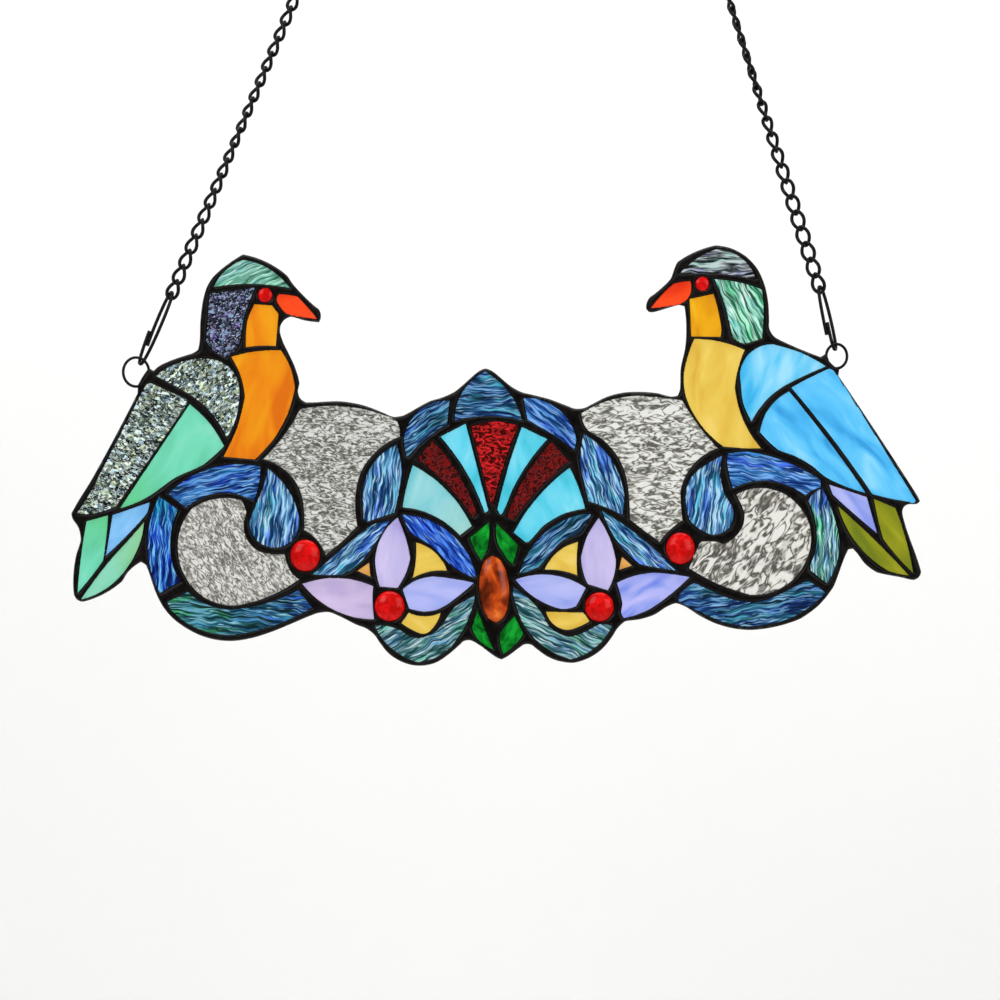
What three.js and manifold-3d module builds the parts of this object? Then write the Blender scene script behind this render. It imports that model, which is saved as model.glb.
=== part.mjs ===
// Stained glass panel of two birds with a fan crest, flowers and scrolls, hung from two curb chains.
// Millimetres, +Z up, the panel's face towards -Y, and the origin midway between the two end links.
import * as THREE from "three";
import { mergeVertices } from "three/addons/utils/BufferGeometryUtils.js";
import Module from "manifold-3d";

const wasm = await Module();
wasm.setup();

// Driving dimensions of the panel.
const PANEL_WIDTH = 517;
const GLASS_THICKNESS = 3;
const SOLDER_THICKNESS = 5.6;
const EDGE_BEVEL = 1.3;
const FIT_GAP = 0.3;
const JEWEL_RISE = 3.4;
const ARC_TOLERANCE = 0.5;
const TIP_REACH = 2;

// Driving dimensions of the hangers.
const CHAIN_WIRE = 2.2;
const LINK_WIDTH = 9.6;
const LINK_OVERLAP = 0.25;
const LINK_TWIST = 90;
const LINK_STEPS = 8;
const LINK_SIDES = 4;
const HOOK_WIRE = 2.1;
const HOOK_WIDTH = 12;
const HOOK_OVERLAP = 0.02;
const HOOK_SEAM_DROP = 0.09;
const HOOK_SQUARENESS = 0.75;
const HOOK_SIDES = 6;
const HOOK_STEPS = 24;
const RING_WIRE = 1.75;
const RING_SIDES = 6;
const RING_STEPS = 16;

// The cartoon is drawn in its own units, across to the right and down, and scaled to the panel's width.
const CARTOON_LEFT = 71.5;
const CARTOON_RIGHT = 920;
const HANGING_POINT = { across: 512.6, down: -22 };
const UNIT = PANEL_WIDTH / (CARTOON_RIGHT - CARTOON_LEFT);

// Base colours of the glasses and of the patinated metal.
const COLOURS = {
  mint: "#78DDB6",
  sea_green: "#63B9A4",
  midnight: "#2C2A48",
  glitter: "#8C9C94",
  frost: "#C9C7C0",
  moonstone: "#8F98A6",
  ruby: "#C4121B",
  scarlet: "#F84A1A",
  orange: "#F29A17",
  honey: "#E8C04A",
  gold: "#EAC052",
  sky: "#5CB8F5",
  cornflower: "#88B4F0",
  cobalt: "#1F4FA8",
  lagoon: "#2F7E96",
  turquoise: "#6CC9E0",
  leaf: "#0E8A1E",
  amber: "#E8700F",
  lavender: "#BDB0EE",
  olive: "#8C9A22",
  patina: "#14110F",
  wire: "#26241F",
};

// A tile is cut along corners [across, down, bow]. The bow is how far the side that starts at the corner
// swells outwards, or draws in where it is negative, as an arc.
const tile = (glass, ...corners) => ({ glass, corners });

// A jewel is a domed round or oval of glass: its middle, its two half widths and its lean in degrees.
const jewel = (glass, across, down, halfWidth, halfHeight, lean = 0) => ({
  glass,
  oval: { across, down, halfWidth, halfHeight, lean },
});

// A small piece that stays in one body with the soldered web.
const fused = (piece) => ({ ...piece, fused: true });

const LEFT_BIRD = {
  cap: tile("sea_green", [214.5, 286.5, 4], [243.5, 260.3, 5.5], [289, 287.5, -3.3]),
  nape: tile("midnight", [210, 294, 0.8], [254.5, 288, 0], [242.5, 322, 0.5], [239.5, 342, 2], [226, 357.3, 2.5],
    [206.5, 341, 0.3]),
  eye: fused(jewel("ruby", 265.3, 295.2, 6.7, 6.9)),
  beak: fused(tile("scarlet", [279.5, 294.6, 0.3], [297.5, 297, 0.3], [316.7, 318.7, -0.4], [287, 313.7, 1.2],
    [277, 300, 0.9])),
  throat: fused(tile("orange", [254.5, 304.6, 0], [271.8, 305.8, 0], [278.3, 314, 0], [275.7, 345.8, -0.9],
    [246.3, 347, 0.6], [247.5, 322, 0.6])),
  breast: tile("orange", [231.7, 357, 2.2], [281, 350.8, 2.8], [294.8, 388, 7.2], [255, 459.2, -0.6],
    [224, 456.5, -3], [245.3, 397, -2.8]),
  shoulder: tile("glitter", [156.3, 375.7, 4.6], [205, 359, 12.3], [239.2, 397, 2.9], [227, 437, -3.6],
    [193, 396, -0.8]),
  outer_wing: tile("glitter", [149.5, 383, 0], [188.8, 400.5, 0], [116, 506, 0], [93, 513.5, 0.3],
    [77.5, 513, -1.2], [102.5, 470, 0], [143.8, 390, 0.9]),
  inner_wing: tile("mint", [190, 404.5, 3.2], [224, 446, 0], [203, 464.7, -2.8], [150, 495.3, 1.2],
    [121, 507.7, 0]),
  left_tail: fused(tile("mint", [87, 521.5, -0.2], [108, 515.7, -0.8], [103, 560.5, 0], [78, 592.3, 1])),
  middle_tail: fused(tile("cornflower", [113, 515.3, -0.2], [149.5, 502.7, 0.5], [147, 513, 0.9], [106.5, 555, -0.4])),
  lower_tail: fused(tile("mint", [144, 522.5, 3.9], [124, 571.5, 4.4], [82, 598.8, 2], [137, 531, 0])),
};

const RIGHT_BIRD = {
  cap: tile("moonstone", [680, 274, 3.1], [716, 249.7, 8], [755.3, 279, -3.2]),
  nape: tile("sea_green", [714.8, 279.7, 2], [761.5, 289.7, 1.7], [761.5, 338, 0.8], [744, 343.3, 1],
    [733, 337.5, -2.1]),
  eye: fused(jewel("ruby", 702.2, 284, 6.3, 6.8)),
  beak: fused(tile("scarlet", [690, 281.5, 0.5], [674, 284, 1], [651.3, 307.8, 1], [683.5, 302, 1.8], [690.8, 289, 0])),
  throat: fused(tile("orange", [689.7, 299.3, 0.6], [713.3, 294.3, 0.9], [721, 330, 0], [720.3, 336.7, -0.5],
    [691.5, 336.3, -0.4])),
  breast: tile("honey", [694.2, 339.3, 3], [744.3, 350.2, -1.8], [734.6, 388, -5], [760.3, 448, 0],
    [723.5, 446.3, 4], [688, 402, 1.4], [684, 375, 1.3]),
  shoulder: tile("sky", [773, 344.7, 2.8], [825.3, 366.3, 0], [785, 385, -3.6], [751.5, 421, 2.9],
    [741, 384, 12.7]),
  inner_wing: tile("sky", [788.8, 391.7, 1.7], [864.8, 492.5, 1.3], [826, 477, -3.3], [778, 449.5, 0.7],
    [760, 432, 6.2]),
  outer_wing: tile("sky", [791.5, 387.8, -0.7], [828, 369.3, 1], [834, 371.8, -0.8], [915.5, 501, 0],
    [913, 502.3, 0.3], [872.5, 494, -2]),
  upper_tail: fused(tile("lavender", [829.5, 485, 0], [866.3, 497.3, 0.8], [876.3, 532.3, 0.5], [833, 494.5, 0.5])),
  right_tail: fused(tile("olive", [874, 499.2, 0.8], [895, 508.3, 1.7], [912.8, 572.5, 1.2], [883, 538, 0])),
  lower_tail: fused(tile("olive", [838.5, 507, 1.3], [908, 575, 0.5], [888, 570.5, 7.8])),
};

const LEFT_SCROLL = {
  top_arc: tile("cobalt", [168.5, 493.5, 11.8], [260, 466.5, 2], [253.5, 500.5, -11.2], [186, 507.2, 0]),
  teardrop: tile("cobalt", [268, 469, 5.4], [298.7, 517, 28.4], [250, 521, 0], [255, 508, -1.3]),
  side_arc: tile("cobalt", [159.5, 497, 0], [178, 510, -2.7], [170, 548, -2.4], [179.8, 581, 0],
    [160, 592.7, 3], [148.2, 547, 3.4]),
  bottom_arc: tile("lagoon", [188, 592.3, 0], [168, 602, 0], [170.5, 609, 6.9], [230, 634.8, 4.8],
    [311.5, 607.5, 0], [298.5, 590.3, -3.9], [230, 609.8, -4.2]),
  middle: tile("frost", [192, 509, 5.6], [241, 500.3, 0], [246, 512, 0.5], [243.5, 524, -4.3], [258, 551, -1.7],
    [284.5, 554.2, 0], [290, 571, 0], [298.7, 579.3, 4.2], [235, 605.3, 9.8], [183, 571, 8.9]),
  berry: jewel("ruby", 305.3, 555.5, 14.2, 15.4),
};

const RIGHT_SCROLL = {
  top_arc: tile("cobalt", [728, 454, 0.8], [748, 451.9, 4.5], [820.5, 480.5, 0], [820.3, 487, -1.2],
    [805, 495.3, -4], [762, 480.2, -1.6], [733, 487.8, 0.5], [727.3, 464, 0.2]),
  teardrop: tile("cobalt", [721.7, 456.3, -0.3], [720, 476, -2.6], [732.8, 509, 1.8], [729.5, 527, 2.2],
    [711.5, 534.2, 1.8], [690, 520.5, 1], [686, 499, 3.9], [698, 470.5, 0.8]),
  side_arc: tile("lagoon", [822, 488.7, 2.5], [839.5, 542, 3.2], [827, 583.3, 0.6], [811, 570.5, 0],
    [810.5, 566, -1.3], [817, 540, -2.6], [808.5, 501, 0.5], [812, 495.3, 0]),
  bottom_arc: tile("lagoon", [694.7, 582.8, -1.1], [735, 600.5, -2.4], [768, 599.7, -0.7], [806.5, 580.8, 1],
    [825, 593, 1.6], [793, 616.5, 2.3], [745, 626.2, 2.3], [700, 611.5, 0.3], [679, 601, 0], [678, 596.5, 1.2]),
  middle: tile("frost", [736.5, 494.5, 10.8], [797, 504.5, 4], [810.7, 540, 3.5], [795, 577, 5.5],
    [750, 594.3, 3], [689.3, 568, -0.7], [700.5, 542, -0.7], [719, 542.3, 0], [722, 544.5, -3.5],
    [743.3, 525, -0.3], [744.5, 513, 0.3]),
  berry: jewel("ruby", 680.3, 548.3, 13.7, 15.4),
};

const BACKGROUND = {
  left: tile("frost", [300.5, 409.5, 7.9], [396, 420.5, 1.5], [399.4, 436.5, -4.7], [361, 471, -2.3],
    [355.2, 512, 0], [357, 526, 0], [351, 532.5, 0], [326, 554.3, -3.1], [304.5, 529.5, 0], [303.7, 503, -9.3],
    [263.7, 459, -2.7]),
  right: tile("frost", [581.7, 413.5, 4.4], [640, 396, 0.3], [682, 400.8, -1.8], [717, 448, -7.8], [680, 492, -0.8],
    [682.3, 520, -1.7], [659.3, 541.8, 0.3], [630, 519.5, 0.2], [628.3, 488, -9.5], [588, 430, 1.6]),
};

const ARCH = {
  low_left: tile("cobalt", [396.5, 445.3, 0.8], [401.8, 470, 0.9], [394, 512.5, 0], [367.5, 521.3, 0.4],
    [364, 518.5, 0.6], [363.3, 492, 8.2]),
  high_left: tile("cobalt", [449.5, 400.8, 0.5], [446.8, 424.5, -2.6], [407, 457, 0.7], [404.2, 438, 11.4]),
  crown: tile("lagoon", [485.3, 372, 6.3], [521.7, 420, -4.2], [455, 420, 8.3]),
  high_right: tile("cobalt", [523.8, 398.5, 12.8], [575.9, 440, 0.5], [574, 449, -1.5], [528, 420.5, 0]),
  low_right: tile("lagoon", [583.7, 434, 8.5], [623.9, 495, 0.4], [622, 514.7, -1], [588.7, 501, 0.5],
    [580, 460, 0.8]),
};

const FAN = {
  turquoise_1: tile("turquoise", [413, 465.5, 6.9], [471.5, 526, 0], [460, 535, -6.2], [403, 507, 1]),
  ruby_1: tile("ruby", [432.5, 441, 5], [476.5, 514, 0], [473, 517, -4], [417.5, 459, 0]),
  turquoise_2: tile("turquoise", [441, 436.8, 0], [465.5, 424, 0], [488, 510.5, 0], [485, 512.5, -4.4]),
  ruby_2: tile("ruby", [471.5, 426.8, 4.4], [517.5, 426, -1.8], [492.8, 504.5, 0], [491.3, 504, -0.5]),
  turquoise_3: tile("turquoise", [522, 427.3, 0], [546.7, 439.3, -4.4], [502.5, 512.5, 0], [500.5, 514.5, 0],
    [497.6, 509.5, 1.5]),
  ruby_3: tile("ruby", [551.5, 442.5, 0], [568.5, 461, -2.8], [513.5, 519, 0], [507.3, 517, 4.9]),
  turquoise_4: tile("turquoise", [569.5, 468.2, 1.4], [584.6, 508.3, -7.2], [528.5, 541.5, 0], [525.5, 541.8, 0],
    [514, 532.5, 4.8]),
};

const CENTRE = {
  oval: jewel("amber", 494.2, 589, 14.4, 33, 3.6),
  top_left_leaf: fused(tile("leaf", [488.8, 522.8, 0.3], [488, 545, 1], [481, 559.5, 1.2], [470.5, 537.5, 0])),
  top_right_leaf: fused(tile("leaf", [497, 524, 0], [518, 545.5, 0.3], [512.5, 564, 1.8], [497.5, 541, 0.3],
    [496.3, 527, 0])),
  low_left_leaf: fused(tile("leaf", [477.3, 611, 0.8], [492.5, 648.8, 3.4], [472.3, 628, 0.3])),
  low_right_leaf: fused(tile("leaf", [514.5, 616.3, 0.5], [522.8, 633.5, 1.8], [503.5, 653.3, 1.5], [500.5, 633.5, 0.8])),
};

const LEFT_FLOWER = {
  up_petal: tile("lavender", [397.5, 518, 1.6], [409.9, 558, 1.8], [397.5, 587.5, 0.3], [380.3, 586.3, 1],
    [375.5, 560, 5.2]),
  left_petal: tile("lavender", [303, 584, 7], [373, 586.3, -1.1], [374, 619, 9.2]),
  right_petal: tile("lavender", [403, 589.5, 3], [432, 576.8, 0.9], [473.3, 583, -0.8], [446, 605, 1.6],
    [424, 611.2, 0.3], [409.5, 608.3, 0.3]),
  berry: jewel("ruby", 389.7, 606.1, 14.4, 14.6),
  upper_gold: fused(tile("gold", [416.5, 542.8, 5], [446.7, 570.2, -2.7], [413, 577.5, -1.4])),
  small_gold: fused(tile("gold", [369, 563, 0], [370.3, 576.3, 0], [358, 570.7, 0])),
  lower_gold: fused(tile("gold", [408.8, 613, -3.4], [440.2, 613.3, 1.6], [429, 631.5, 1.5], [418, 632.3, 0],
    [401.8, 623, 0])),
  right_strip: tile("cobalt", [403, 515, 16], [475.7, 575, 0], [473.5, 577.3, 0.5], [452, 565.5, -2.7],
    [410, 531.5, 0.7]),
  left_strip: tile("lagoon", [388.8, 521, 0.8], [371, 525.5, 0.8], [314, 574, 0], [343, 574.2, 1.2],
    [363, 559, 0]),
  bottom_scroll: tile("lagoon", [375.5, 625.8, 2], [402, 631.5, -1.4], [418, 638.4, -4.5], [447, 618, -0.5],
    [455, 607.3, 0], [474.3, 596, 0], [474, 601, 3.2], [450, 648, 3], [418, 661.7, 3.3], [383, 639, 0.3]),
};

const RIGHT_FLOWER = {
  up_petal: tile("lavender", [598.7, 518.5, 2.6], [615.5, 560, 2.2], [607.5, 589.8, 0.8], [588, 583.8, 1.6],
    [581.4, 557, 3]),
  left_petal: tile("lavender", [516, 579.8, 8.7], [585.5, 588, 0], [576, 605.8, 1.2], [560, 608.3, 4.3]),
  right_petal: tile("lavender", [617, 583, 2.4], [656, 572.9, 0.5], [688.7, 577.3, 1.5], [650, 608.5, 1],
    [624, 617.7, 0], [621.3, 613, 0], [622.5, 603, 0]),
  berry: jewel("ruby", 599.4, 606.8, 13.7, 14.2),
  upper_gold: fused(tile("gold", [577.7, 542.3, 5.2], [545, 569.3, -1.8], [577, 575, -0.9])),
  small_gold: fused(tile("gold", [622, 557.3, 0.6], [631.5, 565.5, 0], [619.5, 569.3, 0])),
  lower_gold: fused(tile("gold", [546.5, 612, 0], [583, 612.8, 0.5], [589.3, 621, 1.3], [567, 629.6, 4.3])),
  left_strip: tile("cobalt", [590.8, 514.5, 1], [575, 516.3, 10.3], [520, 573, 0.5], [538, 567, -0.3],
    [561, 541, 0], [580, 532.5, 0]),
  right_strip: tile("cobalt", [602.5, 511.3, 3.3], [675.7, 570.3, 0], [640, 563.7, 5]),
  bottom_scroll: tile("lagoon", [514, 588, 4], [549.5, 627.3, -1.7], [570, 637.2, -1.3], [600, 624.4, 0.3],
    [611.8, 626, 6], [571, 659, 6.5], [522, 621, 0.7], [513, 593, 0]),
};

const ASSEMBLIES = {
  left_bird: LEFT_BIRD,
  right_bird: RIGHT_BIRD,
  left_scroll: LEFT_SCROLL,
  right_scroll: RIGHT_SCROLL,
  background: BACKGROUND,
  arch: ARCH,
  fan: FAN,
  centre: CENTRE,
  left_flower: LEFT_FLOWER,
  right_flower: RIGHT_FLOWER,
};

// The outer edge of the soldered panel, from the left bird's crown round to the right.
const OUTER_EDGE = [
  [243, 254.4, 3.4], [287, 275.5, 0.8], [292.5, 283.5, -0.4], [314, 305.5, 4.2], [319, 322.3, 1],
  [291, 316.8, -3.5], [280, 331, -1], [288, 352, 1.3], [299.5, 383, 0.3], [298, 392, -2.1],
  [306, 402.3, -0.4], [340, 401.2, 2.2], [384, 413, -2.5], [403, 415.6, 0.6], [430, 401, -1],
  [455, 391.5, -0.5], [479, 371, 2.4], [492, 370.8, 0], [512, 387, -1.3], [532, 394.6, 0.9],
  [566, 405.3, -4], [592, 404.1, 3.8], [640, 391.8, 1.2], [672, 396.6, -2.8], [679.8, 390, 1.8],
  [685.2, 347, -1], [685.2, 312, -3], [679, 305, 0], [653, 312.3, 3.2], [646.2, 305, 1.9],
  [655, 293.5, 0], [670.5, 279, -0.5], [675, 267, 1.2], [681.5, 259.2, 1.8], [716, 245.3, 9.8],
  [764, 283, 1.5], [769.2, 320, -4.6], [781, 340.5, 0], [820.5, 357, 0], [827.2, 352.6, 0],
  [829.6, 361.6, 0.3], [839.3, 369.5, 0.6], [838.3, 375.6, 0], [917.6, 496, 0.5], [920, 501, 0.8],
  [917, 503.9, 0], [908, 504.4, -1.7], [902.3, 512, -0.4], [905, 524, 0], [919.8, 567, 4],
  [913.3, 580, 0.5], [902, 577.6, 0.4], [877, 572.5, 2.2], [856, 552, -4.3], [846.3, 553.5, 0],
  [833.5, 587, 3.2], [800, 619, 2.1], [752, 630, 3.7], [700, 616, 0], [684, 606, -2.9],
  [667.5, 606.5, 1.9], [640, 619.3, 0.3], [625, 621.5, -1.3], [612, 637, 5], [574, 662.8, 4],
  [536, 648.5, -4.2], [519, 648, 0], [506, 657.3, 2], [497, 657.7, 0.8], [476, 643, -4],
  [459, 645.5, 1], [436, 662.6, 3.9], [400, 661, 2], [380, 643, -3.3], [357, 625, 0.8],
  [340, 616.5, -2.8], [317, 613.3, 0.7], [270, 632.5, 1.5], [232, 641, 3.6], [186, 628, 3.6],
  [157, 595.5, 0.6], [146, 565, -3], [136, 565, -1.4], [121.5, 582, 2], [88, 600.5, 3.6],
  [74, 595, 1.6], [76, 556, 0], [80.7, 540, -2.3], [72.3, 518, 1.4], [73.5, 509.5, 0],
  [92, 479, 0], [137.5, 393.5, 0], [138.2, 384.6, 0.4], [148.8, 368, 0], [153.8, 370.8, 0],
  [158, 366.8, 1], [187, 355, 0], [193, 353, -2.2], [199.3, 344, 1], [203.5, 298, 1.5],
  [213, 277, 1.3],
];

// Each hanger is a ring held in the panel's corner, a hook of bent wire and a curb chain. Places are in the
// cartoon's units, and a hook or chain runs from its foot to its head. Turns are in degrees and spin a loop of
// wire about its own length; a chain's are at even steps on its way up.
const HANGERS = {
  left: {
    ring: { across: 136.1, down: 372, halfWidth: 12.9, halfHeight: 14.5 },
    hook: { foot: [139.9, 365.6], head: [172.4, 290.9], turn: 62 },
    chain: { foot: [170.5, 296.9], head: [303.2, -22], links: 21, turns: [30, 44, 68, 60, 48] },
  },
  right: {
    ring: { across: 836.6, down: 356.2, halfWidth: 10.4, halfHeight: 12.1 },
    hook: { foot: [835.2, 351.2], head: [819.4, 285], turn: -65 },
    chain: { foot: [820.3, 290.8], head: [722, -22], links: 20, turns: [25, -14, -52, -88, -90] },
  },
};

// A cartoon place in millimetres, with x to the right and y up from the hanging point.
function placed(across, down) {
  return new THREE.Vector2((across - HANGING_POINT.across) * UNIT, (HANGING_POINT.down - down) * UNIT);
}

// Twice the signed area of a closed outline, positive when it runs anticlockwise.
function windingOf(points) {
  return points.reduce((sum, point, i) => sum + point.cross(points[(i + 1) % points.length]), 0);
}

// Points along the arc from one corner up to the next: outward is the arc's own height beyond the chord.
function arcPoints(from, to, bow, outwardSide) {
  const chord = to.clone().sub(from);
  const height = Math.abs(bow);
  const turn = 4 * Math.atan2(2 * height, chord.length());
  const radius = height > 0 ? (chord.lengthSq() / 4 + height * height) / (2 * height) : 0;
  const perStep = height > ARC_TOLERANCE ? 2 * Math.acos(1 - ARC_TOLERANCE / radius) : Infinity;
  const steps = Math.max(1, Math.ceil(turn / perStep));
  const side = Math.sign(bow) * outwardSide;
  const away = new THREE.Vector2(chord.y, -chord.x).normalize().multiplyScalar(side);
  const middle = from.clone().add(to).multiplyScalar(0.5).addScaledVector(away, height - radius);
  return Array.from({ length: steps }, (_, i) =>
    from.clone().rotateAround(middle, (side * turn * i) / steps),
  );
}

// The anticlockwise outline of a cut tile or of the panel's edge.
function outlineOf(corners) {
  const points = corners.map(([across, down]) => placed(across, down));
  const outwardSide = Math.sign(windingOf(points));
  const outline = corners.flatMap((corner, i) =>
    arcPoints(points[i], points[(i + 1) % points.length], corner[2] * UNIT, outwardSide),
  );
  return outwardSide > 0 ? outline : outline.reverse();
}

// The outline of an oval jewel.
function ovalOutline({ across, down, halfWidth, halfHeight, lean }) {
  const smaller = Math.min(halfWidth, halfHeight) * UNIT;
  const steps = 2 * Math.ceil(Math.PI / 2 / Math.acos(1 - ARC_TOLERANCE / smaller)) + 2;
  const middle = placed(across, down);
  return Array.from({ length: steps }, (_, i) => {
    const angle = (2 * Math.PI * i) / steps;
    return new THREE.Vector2(halfWidth * Math.cos(angle), halfHeight * Math.sin(angle))
      .multiplyScalar(UNIT)
      .rotateAround(new THREE.Vector2(), THREE.MathUtils.degToRad(lean))
      .add(middle);
  });
}

// An outline moved outwards by a distance, with a sharp tip reaching no more than TIP_REACH times as far.
function grown(outline, distance) {
  return outline.map((point, i) => {
    const before = point.clone().sub(outline.at(i - 1)).normalize();
    const after = outline[(i + 1) % outline.length].clone().sub(point).normalize();
    const out = new THREE.Vector2(before.y + after.y, -before.x - after.x).normalize();
    const reach = Math.min(TIP_REACH, 1 / Math.max(out.x * after.y - out.y * after.x, 0.1));
    return point.clone().addScaledVector(out, distance * reach);
  });
}

// A flat body of an outline, centred on the panel's middle plane.
function slab(outline, thickness) {
  const shape = new THREE.Shape(outline);
  return new THREE.ExtrudeGeometry(shape, { depth: thickness, bevelEnabled: false }).translate(
    0, 0, -thickness / 2,
  );
}

// A flat body whose edge is chamfered on both faces.
function chamferedSlab(outline, thickness, chamfer) {
  const shape = new THREE.Shape(outline);
  return new THREE.ExtrudeGeometry(shape, {
    depth: thickness - 2 * chamfer,
    bevelEnabled: true,
    bevelThickness: chamfer,
    bevelSize: chamfer,
    bevelOffset: -chamfer,
    bevelSegments: 1,
  }).translate(0, 0, chamfer - thickness / 2);
}

// A closed geometry as a solid for cutting and joining, and a solid as a geometry.
function solidOf(geometry) {
  const bare = geometry.clone();
  bare.deleteAttribute("normal");
  bare.deleteAttribute("uv");
  const merged = mergeVertices(bare, 1e-4);
  return new wasm.Manifold(
    new wasm.Mesh({
      numProp: 3,
      vertProperties: merged.getAttribute("position").array,
      triVerts: new Uint32Array(merged.index.array),
    }),
  );
}

function geometryOf(solid) {
  const mesh = solid.getMesh();
  return new THREE.BufferGeometry()
    .setAttribute("position", new THREE.BufferAttribute(mesh.vertProperties, 3))
    .setIndex(new THREE.BufferAttribute(mesh.triVerts, 1));
}

function meshOf(name, geometry, colour, roughness, metalness) {
  const material = new THREE.MeshStandardMaterial({ color: COLOURS[colour], roughness, metalness });
  const mesh = new THREE.Mesh(geometry, material);
  mesh.name = name;
  return mesh;
}

// Every tile with its outline, in one list.
function allTiles() {
  return Object.entries(ASSEMBLIES).flatMap(([assembly, tiles]) =>
    Object.entries(tiles).map(([piece, { glass, corners, oval, fused: isFused = false }]) => ({
      name: `${assembly}_${piece}`,
      glass,
      oval,
      outline: corners ? outlineOf(corners) : ovalOutline(oval),
      loose: !isFused,
    })),
  );
}

// A loose tile of sheet glass.
function sheetTile({ name, glass, outline }) {
  return meshOf(name, slab(grown(outline, -FIT_GAP), GLASS_THICKNESS), glass, 0.2, 0);
}

// A domed jewel, turned on a lathe and drawn out to its oval.
function jewelTile({ name, glass, oval, outline }) {
  const { across, down, halfWidth, halfHeight, lean } = oval;
  const front = GLASS_THICKNESS / 2;
  const profile = [
    [0, -front],
    [1, -front],
    [1, front],
    [0.83, front + 0.5 * JEWEL_RISE],
    [0.5, front + 0.86 * JEWEL_RISE],
    [0, front + JEWEL_RISE],
  ].map(([share, height]) => new THREE.Vector2(share, height));
  const geometry = new THREE.LatheGeometry(profile, outline.length)
    .rotateX(Math.PI / 2)
    .rotateZ(Math.PI / 2)
    .scale(halfWidth * UNIT - FIT_GAP, halfHeight * UNIT - FIT_GAP, 1);
  const mesh = meshOf(name, geometry, glass, 0.08, 0);
  const middle = placed(across, down);
  mesh.position.set(middle.x, middle.y, 0);
  mesh.rotation.z = THREE.MathUtils.degToRad(lean);
  return mesh;
}

// The soldered web: the whole outline less a window for each tile. A fused tile is a thin pane that stays in
// its window, sunk on both faces.
function solderWeb(tiles, ringCuts) {
  const through = SOLDER_THICKNESS + 1;
  let web = solidOf(chamferedSlab(outlineOf(OUTER_EDGE), SOLDER_THICKNESS, EDGE_BEVEL));
  for (const { outline, loose } of tiles) {
    let window = solidOf(slab(outline, through));
    if (!loose) {
      window = window.subtract(solidOf(slab(grown(outline, 1), GLASS_THICKNESS)));
    }
    web = web.subtract(window);
  }
  for (const cut of ringCuts) web = web.subtract(cut);
  return meshOf("solder_web", geometryOf(web), "patina", 0.45, 0.6);
}

// A ring of wire in the panel's plane, and the channel that it takes in the solder.
function ringGeometry(ring, wireRadius) {
  const bow = new THREE.EllipseCurve(0, 0, ring.halfWidth * UNIT, ring.halfHeight * UNIT);
  const path = new THREE.CatmullRomCurve3(
    bow.getPoints(RING_STEPS).slice(0, -1).map(({ x, y }) => new THREE.Vector3(x, y, 0)),
    true,
  );
  const middle = placed(ring.across, ring.down);
  return new THREE.TubeGeometry(path, RING_STEPS, wireRadius, RING_SIDES, true).translate(middle.x, middle.y, 0);
}

// The centre line of a chain link: an oval whose plane turns by LINK_TWIST from its foot to its top, so that
// each link passes square through the next.
class TwistedOval extends THREE.Curve {
  constructor(length, width, middleTurn) {
    super();
    Object.assign(this, { length, width, middleTurn });
  }

  getPoint(t, target = new THREE.Vector3()) {
    const angle = 2 * Math.PI * t;
    const along = (this.length / 2) * Math.cos(angle);
    const across = (this.width / 2) * Math.sin(angle);
    const turn = THREE.MathUtils.degToRad(this.middleTurn + (LINK_TWIST * along) / this.length);
    return target.set(across * Math.cos(turn), along, across * Math.sin(turn));
  }
}

// The turn at a share of the way along a list of turns at even steps.
function turnAt(turns, share) {
  const place = share * (turns.length - 1);
  const step = Math.min(Math.floor(place), turns.length - 2);
  return THREE.MathUtils.lerp(turns[step], turns[step + 1], place - step);
}

// A curb chain of touching links, from the inside of its first link to the inside of its end link.
function chainMesh(name, { foot, head, links, turns }) {
  const low = placed(...foot);
  const run = placed(...head).sub(low);
  const pitch = (run.length() + LINK_OVERLAP) / links;
  const length = pitch - LINK_OVERLAP + CHAIN_WIRE;
  let chain = null;
  for (let i = 0; i < links; i += 1) {
    const curve = new TwistedOval(length, LINK_WIDTH - CHAIN_WIRE, turnAt(turns, i / (links - 1)));
    const link = new THREE.TubeGeometry(curve, LINK_STEPS, CHAIN_WIRE / 2, LINK_SIDES, true);
    const solid = solidOf(link.translate(0, (pitch - LINK_OVERLAP) / 2 + pitch * i, 0));
    chain = chain ? chain.add(solid) : solid;
  }
  const mesh = meshOf(name, geometryOf(chain), "wire", 0.4, 0.8);
  mesh.position.set(low.x, low.y, 0);
  mesh.rotation.z = Math.atan2(run.y, run.x) - Math.PI / 2;
  return mesh;
}

// The centre line of a hook: one turn of a long loop and a little more, its ends lying side by side.
class HookLine extends THREE.Curve {
  constructor(length) {
    super();
    this.length = length;
  }

  getPoint(t, target = new THREE.Vector3()) {
    const sweep = 2 * t - 1;
    const angle = Math.PI * (HOOK_SEAM_DROP + (1 + HOOK_OVERLAP) * sweep);
    const across = Math.sign(Math.cos(angle)) * Math.abs(Math.cos(angle)) ** HOOK_SQUARENESS;
    const aside = 0.7 * (HOOK_WIRE + FIT_GAP) * sweep ** 3;
    return target.set(((HOOK_WIDTH - HOOK_WIRE) / 2) * across, (this.length / 2) * Math.sin(angle), aside);
  }
}

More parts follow.
